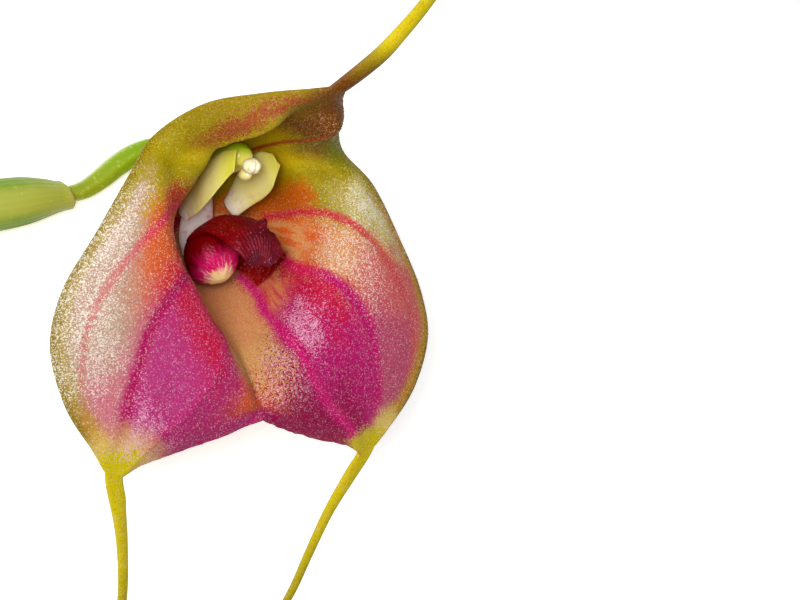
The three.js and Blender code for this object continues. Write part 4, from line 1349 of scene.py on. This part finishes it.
# %% The lip's finish
LIP_DARK, LIP_RED, RIDGE_RED, GLOSS_RED = lit(78, 0, 8), lit(110, 0, 16), lit(132, 8, 44), lit(118, 0, 6)
LIP_BLOOM_AND_SHEEN, LIP_SPARK = lit(120, 34, 76), lit(200, 130, 160)
KNOB_RED, KNOB_PINK, STREAK_PINK = lit(112, 0, 4), lit(200, 16, 92), lit(238, 150, 180)
KNOB_CREAM = lit(232, 204, 140)


def lip_finish():
    paint = Finish("lip_velvet", Subsurface_Weight=0.06, Subsurface_Scale=0.001, Specular_IOR_Level=0.14)
    mark, rise = paint.mark, paint.rise
    on_knob, lengthwise, from_tip, streak = mark("knob"), mark("lengthwise"), mark("from_tip"), mark("streak")
    fine = paint.fog(0.22, 3.0) - 0.5
    # Purple bloom towards the tip: the papillae's own colour, and partly a painted sheen.
    bloom_and_sheen = rise(lengthwise + fine * 0.5, 0.55, 0.95) * rise(paint.grains(0.2), 0.62, 0.2)
    glossy = rise(mark("aside") + fine * 0.6, -0.05, -0.6) * rise(lengthwise, 0.9, 0.6)
    # Painted highlights: sparse pale specks where single papillae catch the light.
    spark = rise(paint.lottery(0.12), 0.965, 0.99) * rise(lengthwise, 0.3, 0.8)
    velvet = paint.coats(
        LIP_DARK,
        (rise(paint.fog(1.6, 3.0), 0.35, 0.7), LIP_RED),
        (rise(mark("ridge") + fine, 0.2, 1.0) * 0.32, RIDGE_RED),
        (bloom_and_sheen * 0.25, LIP_BLOOM_AND_SHEEN),
        (glossy * (1 - on_knob), GLOSS_RED),
        (spark * 0.4, LIP_SPARK),
    )
    knob_gloss = paint.coats(
        KNOB_RED,
        (rise(from_tip + streak * 0.4, 1.5, 0.7), KNOB_PINK),
        (rise(streak + fine * 0.9, 0.0, 0.4) * rise(from_tip, 1.1, 0.6) * 0.7, STREAK_PINK),
        (rise(from_tip + streak * 0.3, 0.6, 0.4), KNOB_CREAM),
    )
    papillose = paint.grains(0.2) * -1.0 + paint.fog(0.5, 2.0) * 0.8
    return paint.wear(Base_Color=paint.blend(on_knob, velvet, knob_gloss),
                      Roughness=0.5 - (on_knob + glossy) * 0.24, Normal=paint.bump(papillose, 0.07, 0.7))


make_piece("lip", lip_points, lip_faces, lip_finish(), "lip", ["lip"], lip_marks)

# %% [markdown]
# ## Ovary, bract and stalk
# Behind the flower the green ovary and its short stalk have six shallow furrows. A pale papery sheath, the
# bract, wraps its foot, and the flower stalk comes out of the sheath's lower end. The furrows and the
# sheath's ribs are pressed into the rings. The sheath is one skin that turns inwards at both mouths.

# %% Ovary
OVARY_LINE = [
    [-0.4, 13.9, -10.9], [-1.6, 15.3, -11.6], [-3.6, 15.9, -12.0], [-5.9, 15.2, -12.1],
    [-8.0, 13.9, -12.1], [-9.9, 12.4, -12.0], [-11.8, 11.2, -11.8], [-13.7, 10.65, -11.45],
    [-16.6, 10.15, -11.17],
]
OVARY_RADIUS = [1.0, 1.12, 1.2, 1.22, 1.2, 1.12, 1.0, 0.86, 0.8]
OVARY_RIB = 0.09
OVARY_GREEN, OVARY_OLIVE = lit(130, 166, 6), lit(144, 156, 32)
FURROW_GREEN, OVARY_DOT = lit(96, 128, 4), lit(190, 200, 96)


def six_fold(angle):
    return 0.5 - 0.5 * np.cos(6 * angle)


def furrows(angle, t):
    return 1 - OVARY_RIB * six_fold(angle) * (1 - 0.5 * t)


ovary, _, angle = bar_rings(OVARY_LINE, OVARY_RADIUS, OVARY_RADIUS, 180, 72, (0, 0, 1), furrows)
ovary = ovary + 0.03 * drift(ovary, 1.2, 2.0)[..., None] * (0, 0.5, 0.5)
ovary = round_ends(ovary, first=0.2, last=0.2)
ovary_marks = {
    "lengthwise": lengthwise_mark(ovary),
    "furrow": [*np.tile(six_fold(angle), len(ovary)), 0, 0],
}


# %% The ovary's finish
def ovary_finish():
    paint = Finish("ovary_flesh", Subsurface_Weight=0.12, Subsurface_Scale=0.001, Coat_Weight=0.35,
                   Coat_Roughness=0.18)
    cloud = paint.fog(1.3, 4.0) - 0.5
    green = paint.coats(
        OVARY_GREEN,
        (paint.rise(paint.mark("lengthwise") + cloud * 0.4, 0.2, 0.9), OVARY_OLIVE),
        (paint.mark("furrow") * 0.22, FURROW_GREEN),
        (paint.rise(paint.lottery(0.26), 0.8, 1.0) * 0.4, OVARY_DOT),
    )
    return paint.wear(Base_Color=green, Roughness=0.34 + cloud * 0.15,
                      Normal=paint.bump(paint.fog(0.25, 3.0), 0.03, 0.4))


make_piece("ovary", *closed_skin(ovary), ovary_finish(), "ovary", ["ovary"], ovary_marks)

# %% Bract
BRACT_LINE = [
    [-31.2, 8.0, -11.75], [-28.8, 8.3, -11.35], [-25.4, 8.7, -10.96], [-21.8, 9.2, -10.78],
    [-18.6, 9.8, -10.86], [-16.6, 10.15, -11.05], [-15.0, 10.4, -11.3], [-14.0, 10.6, -11.4],
]
BRACT_RADIUS = [1.75, 2.05, 2.4, 2.55, 2.38, 2.0, 1.62, 1.5]
BRACT_MOUTH = {"line": [[-13.4, 10.7, -11.5], [-15.2, 10.35, -11.27], [-17.4, 10.05, -11.1]], "radius": 1.2}
BRACT_SOCKET = {"line": [[-29.4, 8.25, -11.6], [-31.6, 7.95, -11.96]], "radius": 1.42}
BRACT_SIDES, BRACT_RIBS, BRACT_RIB_HEIGHT = 120, 24, 0.005
TONGUE, TONGUE_START, TONGUE_SPAN = 0.5, 0.72, 0.28  # the mouth is longer on one side by this much


def sheath(angle, t):
    """Fine ribs, and one long lap where the sheath's edge wraps over itself."""
    ribs = BRACT_RIB_HEIGHT * np.cos(BRACT_RIBS * angle)
    turn = np.mod(angle - 0.9 - 0.5 * t, 2 * np.pi)
    lap = 0.035 * np.exp(-turn / 1.4) - 0.0175
    return 1 + (ribs + lap) * np.minimum(1, 8 * t + 0.1)


def inner_tube(values, count):
    """Rings of a plain tube inside the sheath."""
    radius = [values["radius"]] * len(values["line"])
    return bar_rings(values["line"], radius, radius, count, BRACT_SIDES, (0, 0, 1))[0]


def fitted(rings, own, goal):
    """Rings turned or mirrored until the one numbered own runs beside the ring goal, point by point."""
    ways = [np.roll(way, k, axis=1) for way in (rings, rings[:, ::-1]) for k in range(BRACT_SIDES)]
    return min(ways, key=lambda way: np.linalg.norm(way[own] - goal, axis=1).sum())


outside, u, angle = bar_rings(BRACT_LINE, BRACT_RADIUS, BRACT_RADIUS, 130, BRACT_SIDES, (0, 0, 1), sheath)
near_mouth = np.clip((u - TONGUE_START) / TONGUE_SPAN, 0, 1)[:, None] ** 2
mouth_way = unit(outside[-1].mean(0) - outside[-12].mean(0))
tongue = TONGUE * np.sin(angle)
outside = outside + (near_mouth * tongue)[..., None] * mouth_way
lining = inner_tube(BRACT_MOUTH, 14)[:, ::-1]
turned_over = np.linspace(1, 0, len(lining))[:, None] ** 2
lining = lining + (turned_over * tongue)[..., None] * mouth_way
lining = fitted(lining, 0, outside[-1])[1:]
socket = fitted(inner_tube(BRACT_SOCKET, 8), -1, outside[0])[:-2]
bract_rings = np.concatenate([socket, outside, lining])
place = np.concatenate([np.zeros(len(socket)), np.linspace(0, 1, len(outside)), np.ones(len(lining))])
keel = np.abs((bract_rings - bract_rings.mean(1, keepdims=True))[..., 1]).ravel() / 2.4
bract_marks = {
    "lengthwise": ring_mark(place, BRACT_SIDES),
    "keel": [*keel, 0, 0],
    "rib": [*np.tile(np.cos(BRACT_RIBS * angle), len(bract_rings)), 0, 0],
}

# %% The bract's finish
SHEATH_GREEN, KEEL_AND_EDGE_SHADE_GREEN, RIB_GREEN = lit(162, 170, 64), lit(108, 142, 4), lit(128, 146, 40)
MOUTH_DRY, FRECKLE = lit(170, 160, 84), lit(206, 200, 130)


def bract_finish():
    paint = Finish("bract_paper", Subsurface_Weight=0.2, Subsurface_Scale=0.001)
    cloud, rib, rise = paint.fog(1.8, 4.0) - 0.5, paint.mark("rib"), paint.rise
    paper = paint.coats(
        SHEATH_GREEN,
        # Greener along the upper and lower sides: the keels, and painted shade where the round sheath turns
        # away at its edges.
        (rise(paint.mark("keel") + cloud * 0.3, 0.28, 0.9), KEEL_AND_EDGE_SHADE_GREEN),
        (rise(rib, 0.1, 1.0) * 0.08, RIB_GREEN),
        (rise(paint.mark("lengthwise") + cloud * 0.05, 0.97, 1.0) * 0.6, MOUTH_DRY),
        (rise(paint.fog(0.5, 4.0), 0.62, 0.72) * 0.25, FRECKLE),
    )
    return paint.wear(Base_Color=paper, Roughness=0.5 + cloud * 0.2,
                      Normal=paint.bump(paint.fog(0.3, 4.0) + rib * 0.4, 0.04, 0.5))


make_piece("bract", *closed_skin(bract_rings), bract_finish(), "bract", ["bract"], bract_marks)

# %% Stalk with its cut end
STALK_LINE = [
    [-29.7, 8.2, -11.65], [-33.0, 7.8, -12.15], [-38.0, 7.4, -12.3], [-44.0, 7.4, -12.3],
    [-51.0, 8.0, -12.28],
]
STALK_RADIUS = [1.1, 1.14, 1.18, 1.2, 1.22]
STALK_SIDES, CUT_RINGS = 60, 14
RIND_DARK, RIND_LIGHT, RIND_DOT = lit(96, 124, 30), lit(134, 150, 52), lit(172, 176, 110)
PITH, PITH_SHADE, PITH_EDGE = lit(196, 200, 130), lit(160, 170, 84), lit(110, 136, 40)


def stalk_section(angle, t):
    return 1 + 0.012 * np.cos(9 * angle)


stalk, _, _ = bar_rings(STALK_LINE, STALK_RADIUS, STALK_RADIUS, 150, STALK_SIDES, (0, 0, 1), stalk_section)
stalk = stalk + 0.03 * drift(stalk, 2.0, 6.0)[..., None] * (0, 0.7, 0.3)
stalk[..., 2] = np.maximum(stalk[..., 2], REST_SPOT_Z)
cut_middle = stalk[-1].mean(0)
end_way = unit(cut_middle - stalk[-4].mean(0))
cut = []
for k in range(1, CUT_RINGS + 1):
    share = 1 - k / (CUT_RINGS + 1)
    sunk = 0.05 * np.sin(6 * share) - 0.10 * (1 - share)
    cut.append(cut_middle + (stalk[-1] - cut_middle) * share + end_way * sunk)
stalk_rings = np.concatenate([stalk, np.array(cut)])
from_rind = np.concatenate([np.zeros(len(stalk)), np.linspace(0.07, 1, CUT_RINGS)])
stalk_marks = {"cut": ring_mark(from_rind, STALK_SIDES)}


# %% The stalk's finish
def stalk_finish():
    paint = Finish("stalk_green", Subsurface_Weight=0.08, Subsurface_Scale=0.001)
    cloud, cut_mark, rise = paint.fog(2.4, 4.0) - 0.5, paint.mark("cut"), paint.rise
    pith = paint.coats(
        PITH,
        (rise(paint.grains(0.22), 0.2, 0.5), PITH_SHADE),
        (rise(cut_mark, 0.35, 0.15) * 0.6, PITH_EDGE),
    )
    rind = paint.coats(
        RIND_DARK,
        (rise(cloud, -0.2, 0.25), RIND_LIGHT),
        (rise(paint.lottery(0.3), 0.86, 1.0) * 0.5, RIND_DOT),
        (rise(cut_mark, 0.01, 0.07), pith),
    )
    return paint.wear(Base_Color=rind, Roughness=0.45 + cloud * 0.2,
                      Normal=paint.bump(paint.fog(0.3, 3.0), 0.04, 0.5))


make_piece("peduncle", *closed_skin(stalk_rings), stalk_finish(), "peduncle", ["peduncle"], stalk_marks)

# %% [markdown]
# ## The table
# The flower lies on a plain pale sheet, which is stage and not part of the object.

# %% Floor
FLOOR_HALF = 1.5
SHEET_WHITE, SHEET_SHADE = lit(252, 252, 252), lit(246, 246, 245)
corners = [(x * FLOOR_HALF, y * FLOOR_HALF, 0) for x, y in ((-1, -1), (1, -1), (1, 1), (-1, 1))]
floor_mesh = bpy.data.meshes.new("floor")
floor_mesh.from_pydata(corners, [], [(0, 1, 2, 3)])
floor = bpy.data.objects.new("floor", floor_mesh)
bpy.context.scene.collection.objects.link(floor)
table = Finish("table", Roughness=0.9, Specular_IOR_Level=0.1, Emission_Strength=0.45,
               Emission_Color=(1, 1, 1, 1))
table.wear(Base_Color=table.blend(table.fog(30, 2.0) * 0.3, SHEET_WHITE, SHEET_SHADE))
floor_mesh.materials.append(table.material)
